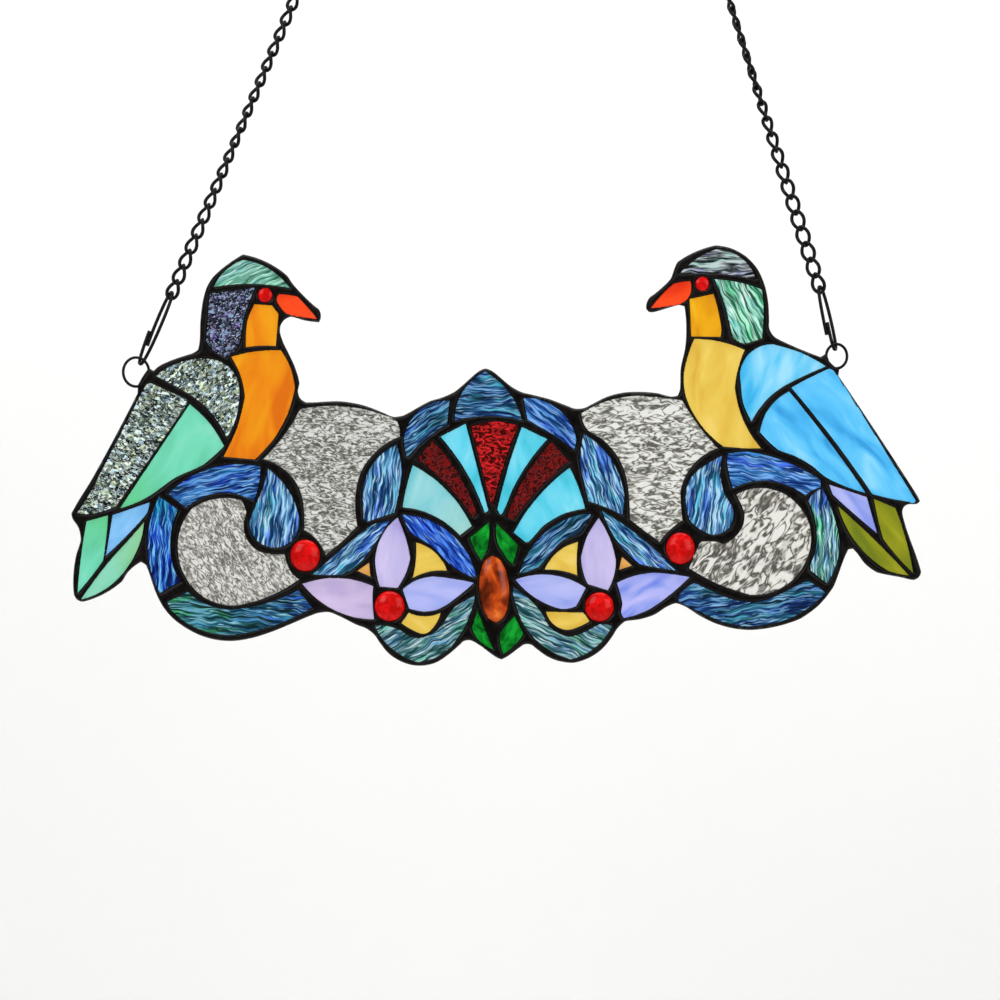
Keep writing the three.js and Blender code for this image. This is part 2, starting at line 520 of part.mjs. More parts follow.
function hookMesh(name, { foot, head, turn }) {
  const low = placed(...foot);
  const run = placed(...head).sub(low);
  const section = new THREE.Shape(
    new THREE.EllipseCurve(0, 0, HOOK_WIRE / 2, HOOK_WIRE / 2).getPoints(HOOK_SIDES).slice(0, -1),
  );
  const line = new HookLine(run.length() - HOOK_WIRE);
  const geometry = new THREE.ExtrudeGeometry(section, { steps: HOOK_STEPS, extrudePath: line });
  geometry.rotateY(THREE.MathUtils.degToRad(-turn));
  const mesh = meshOf(name, geometry, "wire", 0.4, 0.8);
  const middle = low.clone().addScaledVector(run, 0.5);
  mesh.position.set(middle.x, middle.y, 0);
  mesh.rotation.z = Math.atan2(run.y, run.x) - Math.PI / 2;
  return mesh;
}

// The whole panel drawn in its own plane, then stood upright to face -Y.
const panel = new THREE.Group();
panel.rotation.x = Math.PI / 2;

const tiles = allTiles();
for (const piece of tiles.filter(({ loose }) => loose)) {
  panel.add(piece.oval ? jewelTile(piece) : sheetTile(piece));
}
const ringCuts = Object.values(HANGERS).map(({ ring }) => solidOf(ringGeometry(ring, RING_WIRE / 2 + FIT_GAP)));
panel.add(solderWeb(tiles, ringCuts));
for (const [side, { ring, hook, chain }] of Object.entries(HANGERS)) {
  panel.add(meshOf(`${side}_ring`, ringGeometry(ring, RING_WIRE / 2), "wire", 0.4, 0.8));
  panel.add(hookMesh(`${side}_hook`, hook));
  panel.add(chainMesh(`${side}_chain`, chain));
}

export default panel;
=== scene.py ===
"""The looks of the hanging stained glass panel: glass tiles in black soldered lines, hung on two curb chains."""

import logging
from collections.abc import Iterable, Mapping
from dataclasses import dataclass, field
from enum import Enum

import bpy
import numpy as np
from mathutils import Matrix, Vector
from mathutils.geometry import delaunay_2d_cdt


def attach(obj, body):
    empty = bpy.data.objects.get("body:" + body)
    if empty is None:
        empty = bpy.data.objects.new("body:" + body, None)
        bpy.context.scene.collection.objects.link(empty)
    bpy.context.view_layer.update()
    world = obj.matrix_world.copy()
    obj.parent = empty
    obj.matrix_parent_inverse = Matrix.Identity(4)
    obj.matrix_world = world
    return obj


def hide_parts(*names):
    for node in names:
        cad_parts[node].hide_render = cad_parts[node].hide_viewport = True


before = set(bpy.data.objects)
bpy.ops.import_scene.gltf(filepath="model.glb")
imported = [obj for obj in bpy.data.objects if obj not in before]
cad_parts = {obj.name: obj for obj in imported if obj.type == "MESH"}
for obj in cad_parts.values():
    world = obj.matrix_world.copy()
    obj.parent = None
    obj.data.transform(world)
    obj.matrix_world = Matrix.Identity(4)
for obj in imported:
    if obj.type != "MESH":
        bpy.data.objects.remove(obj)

LOG = logging.getLogger("panel")
MM = 0.001
FLOW_MAP = "flow"
FADE_MAP = "fade"
FLOW_UNIT = 100 * MM
FLAT_BOW = 0.33 * MM
SHARP_DEGREES = 55
ROOT = "root"


# Helpers for shapes


def unit(vectors: np.ndarray) -> np.ndarray:
    """Each row of vectors divided by its length."""
    return vectors / np.maximum(np.linalg.norm(vectors, axis=-1, keepdims=True), 1e-12)


def turned(vectors: np.ndarray, degrees: float) -> np.ndarray:
    """Rows of plane vectors turned anticlockwise by an angle."""
    angle = np.radians(degrees)
    return vectors @ np.array([[np.cos(angle), np.sin(angle)], [-np.sin(angle), np.cos(angle)]])


def area_of(loop: np.ndarray) -> float:
    """The signed area of a closed outline, positive when it runs anticlockwise."""
    after = np.roll(loop, -1, axis=0)
    return float(np.sum(loop[:, 0] * after[:, 1] - after[:, 0] * loop[:, 1]) / 2)


def centre_of(loop: np.ndarray) -> np.ndarray:
    """The middle of a closed outline's area.

    Args:
        loop: the outline's points in order, one row each.

    Returns:
        The centroid: the mean of each edge's midpoint third, weighted by the edge's cross product.
    """
    after = np.roll(loop, -1, axis=0)
    cross = loop[:, 0] * after[:, 1] - after[:, 0] * loop[:, 1]
    return ((loop + after) * cross[:, None]).sum(0) / (3 * cross.sum())


def traced_loops(corners: np.ndarray, edges: np.ndarray) -> list[np.ndarray]:
    """Closed outlines from loose edges whose ends meet in pairs.

    Args:
        corners: places in the panel's plane, one row each.
        edges: pairs of rows of corners, each edge once.

    Returns:
        One array of ordered places for each loop, all anticlockwise.
    """
    onward = dict(edges.tolist())
    loops = []
    while onward:
        start, here = onward.popitem()
        path = [start]
        while here != start:
            path.append(here)
            here = onward.pop(here)
        loop = corners[path]
        loops.append(loop if area_of(loop) > 0 else loop[::-1])
    return loops


def smoothed(loop: np.ndarray, spacing: float, corner_degrees: float = 42) -> np.ndarray:
    """An outline whose flats become curves again, with its sharp corners kept.

    Each side becomes a cubic with the tangents of its two ends. At a gentle corner the tangent is the mean of
    the two sides' directions, weighted towards the shorter side, as on a circle through the three points. At a
    sharp corner the tangent mirrors the one at the side's other end, so that an arc keeps its bow. No side bows
    out by more than the solid's own flats stand off their arcs, so a straight side stays straight.

    Args:
        loop: the outline's points in order.
        spacing: the distance between the new points.
        corner_degrees: a turn sharper than this stays a corner.

    Returns:
        The new points in order, the old ones among them.
    """
    side = np.roll(loop, -1, axis=0) - loop
    length = np.linalg.norm(side, axis=1)
    along = unit(side)
    before, before_length = np.roll(along, 1, axis=0), np.roll(length, 1)
    sharp = (along * before).sum(1) < np.cos(np.radians(corner_degrees))
    tangent = unit(before * length[:, None] + along * before_length[:, None])
    leave, arrive = tangent.copy(), np.roll(tangent, -1, axis=0)
    sharp_end = np.roll(sharp, -1)
    normal = np.stack([-along[:, 1], along[:, 0]], axis=1)
    rise = (leave * normal).sum(1) / (leave * along).sum(1)
    fall = (arrive * normal).sum(1) / (arrive * along).sum(1)
    both = sharp & sharp_end
    rise, fall = np.where(sharp, -fall, rise), np.where(sharp_end, -rise, fall)
    limit = 4 * FLAT_BOW / length
    rise, fall = (np.clip(np.where(both, 0, slope), -limit, limit) for slope in (rise, fall))
    leave, arrive = unit(along + rise[:, None] * normal), unit(along + fall[:, None] * normal)
    counts = np.maximum(1, np.ceil(length / spacing)).astype(int)
    which = np.repeat(np.arange(len(loop)), counts)
    step = np.arange(len(which)) - np.repeat(np.cumsum(counts) - counts, counts)
    t = (step / counts[which])[:, None]
    start, end = loop[which], np.roll(loop, -1, axis=0)[which]
    pull = length[which][:, None]
    return (
        (2 * t**3 - 3 * t**2 + 1) * start
        + (t**3 - 2 * t**2 + t) * leave[which] * pull
        + (3 * t**2 - 2 * t**3) * end
        + (t**3 - t**2) * arrive[which] * pull
    )


def widened(loop: np.ndarray, distance: float) -> np.ndarray:
    """An anticlockwise outline with every side moved outwards.

    Each corner moves along the sum of its two sides' outward normals, divided by one more than their dot
    product, so that both sides keep their direction. At a needle-sharp tip it moves four distances at most.

    Args:
        loop: the outline's points in order.
        distance: how far each side moves.

    Returns:
        The moved points.
    """
    along = unit(np.roll(loop, -1, axis=0) - loop)
    after = np.stack([along[:, 1], -along[:, 0]], axis=1)
    before = np.roll(after, 1, axis=0)
    share = 1 / np.maximum(1 + (after * before).sum(1, keepdims=True), 0.25)
    return loop + distance * share * (after + before)


def grid_inside(loops: list[np.ndarray], spacing: float) -> np.ndarray:
    """Points of a hexagonal grid that lie inside outlines, by counting crossings to their left in each row.

    Args:
        loops: closed outlines; a loop inside another is a hole.
        spacing: the distance between grid points.

    Returns:
        The grid points, one row each.
    """
    start = np.concatenate(loops)
    end = np.concatenate([np.roll(loop, -1, axis=0) for loop in loops])
    low, high = start.min(0), start.max(0)
    rows = []
    for number, height in enumerate(np.arange(low[1], high[1], spacing * 0.866)):
        crossing = (start[:, 1] > height) != (end[:, 1] > height)
        first, last = start[crossing], end[crossing]
        share = (height - first[:, 1]) / (last[:, 1] - first[:, 1])
        walls = np.sort(first[:, 0] + share * (last[:, 0] - first[:, 0]))
        x = np.arange(low[0] + (number % 2) * spacing / 2, high[0], spacing)
        x = x[np.searchsorted(walls, x) % 2 == 1]
        rows.append(np.stack([x, np.full_like(x, height)], axis=1))
    return np.concatenate(rows)


def nearest(points: np.ndarray, targets: np.ndarray, chunk: int = 1500) -> np.ndarray:
    """The distance from each point to the nearest target, from squared lengths and dot products.

    Args:
        points: the points, one row each.
        targets: the targets, one row each.
        chunk: how many points are worked out at a time.

    Returns:
        One distance for each point.
    """
    squares = (targets**2).sum(1)
    parts = [
        ((part**2).sum(1)[:, None] + squares - 2 * part @ targets.T).min(1)
        for part in np.array_split(points, max(1, len(points) // chunk))
    ]
    return np.sqrt(np.maximum(np.concatenate(parts), 0))


def swell(x: np.ndarray, y: np.ndarray, wave: float, seed: int) -> np.ndarray:
    """A gentle random relief between about -1 and 1: the mean of sine waves in many directions.

    Args:
        x: places across, in metres.
        y: places up, in metres.
        wave: the usual distance between crests, in metres.
        seed: picks the directions, lengths and phases of the waves.

    Returns:
        The relief's height at each place.
    """
    rng = np.random.default_rng(seed)
    turn = rng.uniform(0, 2 * np.pi, 9)
    pace = 2 * np.pi / (wave * rng.uniform(0.7, 1.6, 9))
    phase = rng.uniform(0, 2 * np.pi, 9)
    sums = np.multiply.outer(x, pace * np.cos(turn)) + np.multiply.outer(y, pace * np.sin(turn)) + phase
    return np.sin(sums).mean(-1) * 1.6


def swept(path: np.ndarray, radius: float, sides: int, closed: bool = True) -> tuple[np.ndarray, list]:
    """A round wire: a circle carried along a path and kept from twisting by the way out from its middle.

    At each point of the path the circle lies in the plane of two axes, both square to the path: one points
    away from the path's middle, and the other is square to that one.

    Args:
        path: the centre line's points in order.
        radius: the wire's radius.
        sides: how many points its section has.
        closed: whether the path's end meets its start. An open wire gets a flat disc at both ends.

    Returns:
        The vertices and the faces.
    """
    if closed:
        ahead = unit(np.roll(path, -1, axis=0) - np.roll(path, 1, axis=0))
    else:
        ahead = unit(np.gradient(path, axis=0))
    outward = path - path.mean(0)
    outward = unit(outward - (outward * ahead).sum(1, keepdims=True) * ahead)
    aside = np.cross(ahead, outward)
    turn = np.linspace(0, 2 * np.pi, sides, endpoint=False)
    ring = outward[:, None] * np.cos(turn)[None, :, None] + aside[:, None] * np.sin(turn)[None, :, None]
    points = (path[:, None] + radius * ring).reshape(-1, 3)
    count = len(path)
    row = np.arange(count if closed else count - 1)[:, None]
    here, there = np.arange(sides), np.roll(np.arange(sides), -1)
    above = (row + 1) % count * sides
    quads = np.stack([row * sides + here, row * sides + there, above + there, above + here], axis=-1)
    faces = quads.reshape(-1, 4).tolist()
    if not closed:
        faces += [here[::-1].tolist(), (here + (count - 1) * sides).tolist()]
    return points, faces


# Finishes

Tree = bpy.types.NodeTree
Socket = bpy.types.NodeSocket


def linear(hex_colour: str) -> tuple[float, float, float, float]:
    """An sRGB hex colour as linear red, green and blue, with full alpha.

    Args:
        hex_colour: a hash and six hex digits.

    Returns:
        The four values.
    """
    values = np.array([int(hex_colour[i : i + 2], 16) for i in (1, 3, 5)]) / 255
    values = np.where(values <= 0.04045, values / 12.92, ((values + 0.055) / 1.055) ** 2.4)
    return (*values.tolist(), 1.0)


def add(tree: Tree, kind: str, inputs: Mapping | None = None, **settings: object) -> bpy.types.Node:
    """Adds a shader node.

    Args:
        tree: the material's node tree.
        kind: the node's type.
        inputs: for each input's name or number, a socket to link to it or a plain value.
        settings: the node's own properties.

    Returns:
        The new node.
    """
    node = tree.nodes.new(kind)
    for key, value in settings.items():
        setattr(node, key, value)
    for key, value in (inputs or {}).items():
        if isinstance(value, Socket):
            tree.links.new(value, node.inputs[key])
        else:
            node.inputs[key].default_value = value
    return node


def shade_between(ramp: bpy.types.Node, places: Iterable[float], shades: str) -> Socket:
    """Fills a colour ramp.

    Args:
        ramp: the ramp's node.
        places: where its colours stand, from 0 to 1.
        shades: the colours, as sRGB hex values with spaces between.

    Returns:
        The ramp's colour.
    """
    stops = list(zip(places, shades.split(), strict=True))
    elements = ramp.color_ramp.elements
    for _ in stops[2:]:
        elements.new(0.5)
    for element, (place, colour) in zip(elements, stops, strict=True):
        element.position = place
        element.color = linear(colour)
    return ramp.outputs["Color"]


@dataclass(frozen=True)
class Finish:
    """What a piece is made of.

    Attributes:
        name: the finish's name.
        slot: the material slot of the pieces that wear it, where they have one; not used.
    """

    name: str
    slot: str

    def material(self) -> bpy.types.Material:
        """The finish's material.

        Returns:
            The material, made the first time that it is asked for.
        """
        made = bpy.data.materials.get(self.name)
        if not made:
            made = bpy.data.materials.new(self.name)
            made.use_nodes = True
            tree = made.node_tree
            tree.nodes.clear()
            shader = add(tree, "ShaderNodeBsdfPrincipled", self._look(tree))
            add(tree, "ShaderNodeOutputMaterial", {"Surface": shader.outputs[0]})
        return made

    def _look(self, tree: Tree) -> dict[str, object]:
        """The shader's inputs, from patterns added to the material's tree."""
        raise NotImplementedError


class Figure(Enum):
    """How the colour lies in a sheet of glass."""

    CLOUD = "soft clouds drawn out along the roll"
    # The bright threads are painted highlights.
    STREAK = "combed dark and light streaks with bright threads"
    # Each ripple's thin edge line is painted: grey painted shade in clear glass, a painted highlight in ruby glass.
    RIPPLE = "short wavering ripples, each edged by a thin line"
    FLECK = "small bright and dark facets of many hues"


@dataclass(frozen=True)
class SheetGlass(Finish):
    """Rolled art glass, about 3 mm thick: gloss surface, colour in the melt.

    Attributes:
        shades: five colours, from the hollows to the crests; in ripple glass the first is the waves' edges,
        painted in: grey painted shade in clear glass and a painted highlight in ruby glass.
        figure: how they lie.
        grain: the length and width of one streak, cloud, ripple or facet, in millimetres.
        spread: how far around the middle tone the five shades lie.
        roughness: the surface's roughness.
        clarity: how much light goes through clear.
        relief: the height of the surface's own ripples, in millimetres.
        tints: two colours that broad patches of the melt lean to.
        glint: the colour of the painted highlights: bright threads or specks where the relief would catch the light.
        fade: a colour that the sheet turns to along the tile's fade.
        fade_at: how far along the tile the turn is half done.
    """

    shades: str
    figure: Figure
    grain: tuple[float, float]
    spread: float = 0.2
    roughness: float = 0.1
    clarity: float = 0.0
    relief: float = 0.3
    tints: str = ""
    glint: str = ""
    fade: str = ""
    fade_at: float = 0.55

    def _look(self, tree: Tree) -> dict[str, object]:
        """The figure in its shades, tinted, faded and lit up where the sheet is.

        Args:
            tree: the material's node tree.

        Returns:
            The shader's inputs.
        """
        place = add(tree, "ShaderNodeUVMap", uv_map=FLOW_MAP).outputs["UV"]
        if self.figure is Figure.STREAK:
            place = self._wavering(tree, place)
        tone = self._tone(tree, place)
        spots = [0.5 + self.spread * step for step in (-1, -0.5, 0, 0.5, 1)]
        colour = shade_between(add(tree, "ShaderNodeValToRGB", {"Fac": tone}), spots, self.shades)
        if self.tints:
            colour = self._tinted(tree, place, colour)
        if self.fade:
            colour = self._faded(tree, place, colour)
        # Painted highlights: glints of light mixed into the base colour.
        if self.glint:
            colour = self._glinting(tree, place, colour)
        bump = add(tree, "ShaderNodeBump", {"Height": tone, "Distance": self.relief * MM, "Strength": 0.8})
        return {
            "Base Color": colour,
            "Normal": bump.outputs["Normal"],
            "Roughness": self.roughness,
            "IOR": 1.5,
            "Transmission Weight": self.clarity,
            "Specular IOR Level": 0.2,
        }

    @staticmethod
    def _wavering(tree: Tree, place: Socket) -> Socket:
        """The place pushed sideways in slow waves, as drawn glass wavers.

        Args:
            tree: the material's node tree.
            place: where on the sheet.

        Returns:
            The new place.
        """
        wave_length, push = 12.0, 5 * MM
        inputs = {"Vector": place, "Scale": FLOW_UNIT / MM / wave_length, "Detail": 1.0}
        drift = add(tree, "ShaderNodeTexNoise", inputs).outputs["Fac"]
        across = add(tree, "ShaderNodeCombineXYZ", {"Y": drift}).outputs[0]
        inputs = {0: across, 1: (0, push / FLOW_UNIT, 0), 2: place}
        return add(tree, "ShaderNodeVectorMath", inputs, operation="MULTIPLY_ADD").outputs[0]

    def _noise(self, tree: Tree, place: Socket, size: tuple[float, float], detail: float, distortion: float) -> Socket:
        """Noise drawn out along the grain.

        Args:
            tree: the material's node tree.
            place: where on the sheet.
            size: how many grains long and wide one lump is.
            detail: how many finer layers it has.
            distortion: how far it is pushed about.

        Returns:
            Its value, round one half.
        """
        pace = [FLOW_UNIT / MM / (step * times) for step, times in zip(self.grain, size, strict=True)]
        counted = add(tree, "ShaderNodeMapping", {"Vector": place, "Scale": (*pace, 1)}).outputs[0]
        inputs = {"Vector": counted, "Scale": 1.0, "Detail": detail, "Distortion": distortion}
        return add(tree, "ShaderNodeTexNoise", inputs).outputs["Fac"]

    def _facets(self, tree: Tree, place: Socket, size: float, wander: float) -> bpy.types.Node:
        """Cells of glass with uneven borders.

        Args:
            tree: the material's node tree.
            place: where on the sheet.
            size: how many grains long and wide one cell is.
            wander: how far noise shakes their places.

        Returns:
            The cells' node.
        """
        pace = [FLOW_UNIT / MM / (step * size) for step in self.grain]
        counted = add(tree, "ShaderNodeMapping", {"Vector": place, "Scale": (*pace, 1)}).outputs[0]
        shake = add(tree, "ShaderNodeTexNoise", {"Vector": counted, "Scale": 0.8, "Detail": 2.0}).outputs["Color"]
        inputs = {0: shake, 1: (wander, wander, 0), 2: counted}
        moved = add(tree, "ShaderNodeVectorMath", inputs, operation="MULTIPLY_ADD").outputs[0]
        return add(tree, "ShaderNodeTexVoronoi", {"Vector": moved, "Scale": 1.0})

    def _tone(self, tree: Tree, place: Socket) -> Socket:
        """A value round one half that draws the sheet's figure.

        Flecks take each cell's own grey, with broad noise in it. Ripples take how far noise lies from one half,
        which draws a line along its middle level, with softer noise in it; that line is each wave's painted edge.
        Clouds and streaks are plain noise.

        Args:
            tree: the material's node tree.
            place: where on the sheet.

        Returns:
            The value.
        """
        if self.figure is Figure.FLECK:
            broad_share = 0.42
            cells = self._facets(tree, place, 1, 1.5).outputs["Color"]
            grey = add(tree, "ShaderNodeSeparateColor", {"Color": cells}).outputs["Red"]
            broad = self._noise(tree, place, (4, 4), 3, 0.5)
            return add(tree, "ShaderNodeMix", {"Factor": broad_share, "A": grey, "B": broad}).outputs["Result"]
        if self.figure is Figure.RIPPLE:
            # The line along the noise's middle level is each wave's painted edge.
            line_reach, soft_share = 0.155, 0.5
            waves = self._noise(tree, place, (1, 1), 1.5, 1.0)
            offset = add(tree, "ShaderNodeMath", {0: waves, 1: 0.5}, operation="SUBTRACT").outputs[0]
            away = add(tree, "ShaderNodeMath", {0: offset}, operation="ABSOLUTE").outputs[0]
            line = add(tree, "ShaderNodeMapRange", {"Value": away, "From Max": line_reach}).outputs["Result"]
            soft = self._noise(tree, place, (1.3, 1.3), 3, 1.0)
            return add(tree, "ShaderNodeMix", {"Factor": soft_share, "A": line, "B": soft}).outputs["Result"]
        return self._noise(tree, place, (1, 1), 2, 0.6 if self.figure is Figure.CLOUD else 0.5)

    def _tinted(self, tree: Tree, place: Socket, colour: Socket) -> Socket:
        """The colour leaning to one tint where broad noise is low and to the other where it is high.

        Args:
            tree: the material's node tree.
            place: where on the sheet.
            colour: its colour so far.

        Returns:
            The new colour.
        """
        patch = self._noise(tree, place, (1.6, 3.2), 1.5, 0.8)
        for tint, (start, end) in zip(self.tints.split(), ((0.47, 0.36), (0.53, 0.64)), strict=True):
            inputs = {"Value": patch, "From Min": start, "From Max": end, "To Max": 0.8}
            inputs = {0: add(tree, "ShaderNodeMapRange", inputs).outputs["Result"], 6: colour, 7: linear(tint)}
            colour = add(tree, "ShaderNodeMix", inputs, data_type="RGBA", blend_type="COLOR").outputs[2]
        return colour

    def _faded(self, tree: Tree, place: Socket, colour: Socket) -> Socket:
        """The colour turning to the fade's colour along the tile, the border drawn out by noise.

        Args:
            tree: the material's node tree.
            place: where on the sheet.
            colour: its colour so far.

        Returns:
            The new colour.
        """
        noise_share, turn_length = 0.9, 0.6
        way = add(tree, "ShaderNodeUVMap", uv_map=FADE_MAP).outputs["UV"]
        along = add(tree, "ShaderNodeSeparateXYZ", {"Vector": way}).outputs["X"]
        inputs = {0: self._noise(tree, place, (1, 1.5), 2, 0.5), 1: noise_share, 2: along}
        edge = add(tree, "ShaderNodeMath", inputs, operation="MULTIPLY_ADD").outputs[0]
        start = self.fade_at + (noise_share - turn_length) / 2
        inputs = {"Value": edge, "From Min": start, "From Max": start + turn_length}
        inputs = {0: add(tree, "ShaderNodeMapRange", inputs).outputs["Result"], 6: colour, 7: linear(self.fade)}
        blend = "MIX" if self.figure is Figure.CLOUD else "COLOR"
        return add(tree, "ShaderNodeMix", inputs, data_type="RGBA", blend_type=blend).outputs[2]

    def _glinting(self, tree: Tree, place: Socket, colour: Socket) -> Socket:
        """The colour with painted highlights: bright threads or crests where fine noise peaks, and small bright
        specks.

        Args:
            tree: the material's node tree.
            place: where on the sheet.
            colour: its colour so far.

        Returns:
            The new colour.
        """
        cells = self._facets(tree, place, 0.55 if self.figure is Figure.FLECK else 0.8, 1.0).outputs
        ranges = (
            (self._noise(tree, place, (0.8, 0.55), 2, 0.8), 0.59, 0.68),
            (add(tree, "ShaderNodeSeparateColor", {"Color": cells["Color"]}).outputs["Green"], 0.8, 0.9),
            (cells["Distance"], 0.42, 0.2),
        )
        crest, chosen, middle = (
            add(tree, "ShaderNodeMapRange", {"Value": value, "From Min": low, "From Max": high}).outputs["Result"]
            for value, low, high in ranges
        )
        # The crests and specks are painted highlights.
        speck = add(tree, "ShaderNodeMath", {0: chosen, 1: middle}, operation="MULTIPLY").outputs[0]
        bright = add(tree, "ShaderNodeMath", {0: crest, 1: speck}, operation="MAXIMUM").outputs[0]
        return add(tree, "ShaderNodeMix", {0: bright, 6: colour, 7: linear(self.glint)}, data_type="RGBA").outputs[2]


@dataclass(frozen=True)
class PressedJewel(Finish):
    """A jewel pressed in a mould from clear coloured glass: bright gloss, deep colour, dark swirls inside.

    The dark swirls are partly the glass's own and partly painted dark reflections from inside the dome.

    Attributes:
        shades: five colours, from the swirls, which are partly painted dark reflections, to the clear glass.
        swirl: the size of a swirl, and of a painted reflection, in millimetres.
        clarity: how much light goes through clear.
    """

    shades: str
    swirl: float
    clarity: float

    def _look(self, tree: Tree) -> dict[str, object]:
        """Noise in the five shades under an even gloss; its dark patches are partly painted reflections.

        Args:
            tree: the material's node tree.

        Returns:
            The shader's inputs.
        """
        place = add(tree, "ShaderNodeUVMap", uv_map=FLOW_MAP).outputs["UV"]
        inputs = {"Vector": place, "Scale": FLOW_UNIT / MM / self.swirl, "Detail": 2.0, "Distortion": 0.9}
        # Swirls in the glass together with painted dark reflections from inside the dome.
        depth = add(tree, "ShaderNodeTexNoise", inputs).outputs["Fac"]
        ramp = add(tree, "ShaderNodeValToRGB", {"Fac": depth})
        return {
            "Base Color": shade_between(ramp, (0.26, 0.4, 0.5, 0.6, 0.74), self.shades),
            "Roughness": 0.12,
            "IOR": 1.52,
            "Transmission Weight": self.clarity,
            "Specular IOR Level": 0.12,
        }


@dataclass(frozen=True)
class BlackedMetal(Finish):
    """Solder or wire made black: a satin skin with faint grey where it has rubbed thin.

    Attributes:
        shades: the black and the rubbed grey.
        grain: the size in millimetres of the uneven patches that the iron or the drawing die leaves.
        relief: their height in millimetres.
        roughness: the skin's roughness.
    """

    shades: str
    grain: float
    relief: float
    roughness: float = 0.3

    def _look(self, tree: Tree) -> dict[str, object]:
        """Noise that greys the black, bumps the skin and makes its gloss uneven.

        Args:
            tree: the material's node tree.

        Returns:
            The shader's inputs.
        """
        place = add(tree, "ShaderNodeTexCoord").outputs["Object"]
        inputs = {"Vector": place, "Scale": 1 / (self.grain * MM), "Detail": 4.0, "Roughness": 0.55}
        patches = add(tree, "ShaderNodeTexNoise", inputs).outputs["Fac"]
        low, high = self.roughness - 0.08, self.roughness + 0.1
        inputs = {"Value": patches, "From Min": 0.3, "From Max": 0.7, "To Min": low, "To Max": high}
        gloss = add(tree, "ShaderNodeMapRange", inputs).outputs["Result"]
        bump = add(tree, "ShaderNodeBump", {"Height": patches, "Distance": self.relief * MM, "Strength": 0.7})
        ramp = add(tree, "ShaderNodeValToRGB", {"Fac": patches})
        return {
            "Base Color": shade_between(ramp, (0.5, 0.78), self.shades),
            "Roughness": gloss,
            "Normal": bump.outputs["Normal"],
            "Specular IOR Level": 0.12,
        }


@dataclass(frozen=True)
class MattPaper(Finish):
    """White backdrop paper from a roll: matt, one even shade, and clear from behind so that it hides nothing.

    Attributes:
        shade: its colour.
    """

    shade: str

    def _look(self, tree: Tree) -> dict[str, object]:
        """One even shade in front, and nothing behind.

        Args:
            tree: the material's node tree.

        Returns:
            The shader's inputs.
        """
        behind = add(tree, "ShaderNodeNewGeometry").outputs["Backfacing"]
        seen = add(tree, "ShaderNodeMath", {0: 1.0, 1: behind}, operation="SUBTRACT").outputs[0]
        return {"Base Color": linear(self.shade), "Roughness": 0.9, "IOR": 1.5, "Alpha": seen}


# Opalescent glass is rolled with a white opal in the melt: even, milky colour with soft drawn-out clouds.


def opalescent(name: str, slot: str, shades: str, fade: str = "", fade_at: float = 0.75) -> SheetGlass:
    """An opalescent sheet.

    Args:
        name: its colour.
        slot: its material slot.
        shades: its five shades.
        fade: a colour that it turns to along the tile.
        fade_at: where that turn is half done.

    Returns:
        The finish.
    """
    look = {"roughness": 0.2, "relief": 0.05, "fade": fade, "fade_at": fade_at}
    return SheetGlass(f"{name} opalescent glass", slot, shades, Figure.CLOUD, (34, 13), **look)


MINT = opalescent("mint", "glass_mint", "#64C8A2 #6DD2AD #74DAB7 #79DDBC #88E0C4", fade="#66D090")
JADE = opalescent("jade", "glass_mint", "#6CC49C #7CD0AC #88D8B8 #8EDCBE #98E2C8", fade="#94D090")
CORNFLOWER = opalescent("cornflower", "glass_sky", "#629FD8 #72B4EC #7FC0F4 #89C6F9 #98D0FF")
AZURE = opalescent("azure", "glass_sky", "#3CA0E2 #4CB6F2 #5CC4FA #6CCCFE #8CDAFF")
SKY = opalescent("sky blue", "glass_sky", "#36A8E6 #4ABCF2 #6CCCF6 #84D6FA #9EE0FF")
SCARLET = opalescent("scarlet", "glass_orange", "#E83414 #F24318 #FA4B1D #FE4E24 #FF582C")
ORANGE = opalescent("orange", "glass_orange", "#E07010 #EA8212 #EE9014 #F09A16 #F4A61C")
MARIGOLD = opalescent("marigold", "glass_orange", "#DB9014 #E59C14 #ECA614 #F0AC18 #F4B824")
HONEY = opalescent("honey", "glass_honey", "#DDAE40 #E4BB4A #E8C453 #ECCA5A #F2D26E")
PEACH = opalescent("peach", "glass_honey", "#C4904E #D29854 #DEA256 #E8AA5A #EFB86C")
TURQUOISE = opalescent("turquoise", "glass_turquoise", "#44C2D8 #56CEE6 #64D5EE #72DAF0 #88E0F4")
PALE_TURQUOISE = opalescent(
    "pale turquoise", "glass_turquoise", "#60C2CC #78CAD4 #8AD2D8 #94D6DC #A0DCE2", fade="#A5D8D4"
)
ORCHID = opalescent("orchid", "glass_lavender", "#B8A8D6 #C4B3DC #CEBCE3 #D4C2E8 #DCC8EE")
LAVENDER = opalescent("lavender", "glass_lavender", "#A8A0DC #B8B0E3 #C2B9E8 #C9C0EC #D4C8F2")
PERIWINKLE = opalescent("periwinkle", "glass_lavender", "#8C9CEC #A2AEF2 #B0B8F5 #B8BEF8 #C6C6FC")
IRIS = opalescent("iris", "glass_lavender", "#5A78E6 #8A9AEE #AAB2F5 #BABAFA #D0C6FE")
OLIVE = opalescent("olive", "", "#6F7E1E #7F881D #8B901D #95981E #A2A42C")

# Cathedral glass is one clear colour through; only its thickness varies a little.
LEAF = SheetGlass(
    "leaf green cathedral glass",
    "",
    "#00480E #006A18 #058222 #0C9428 #18AC34",
    Figure.CLOUD,
    (7, 4),
    relief=0.25,
)

# Streaky water glass is clear glass stretched while hot: its rippled face breaks the light into threads, which are
# painted in as bright highlights.


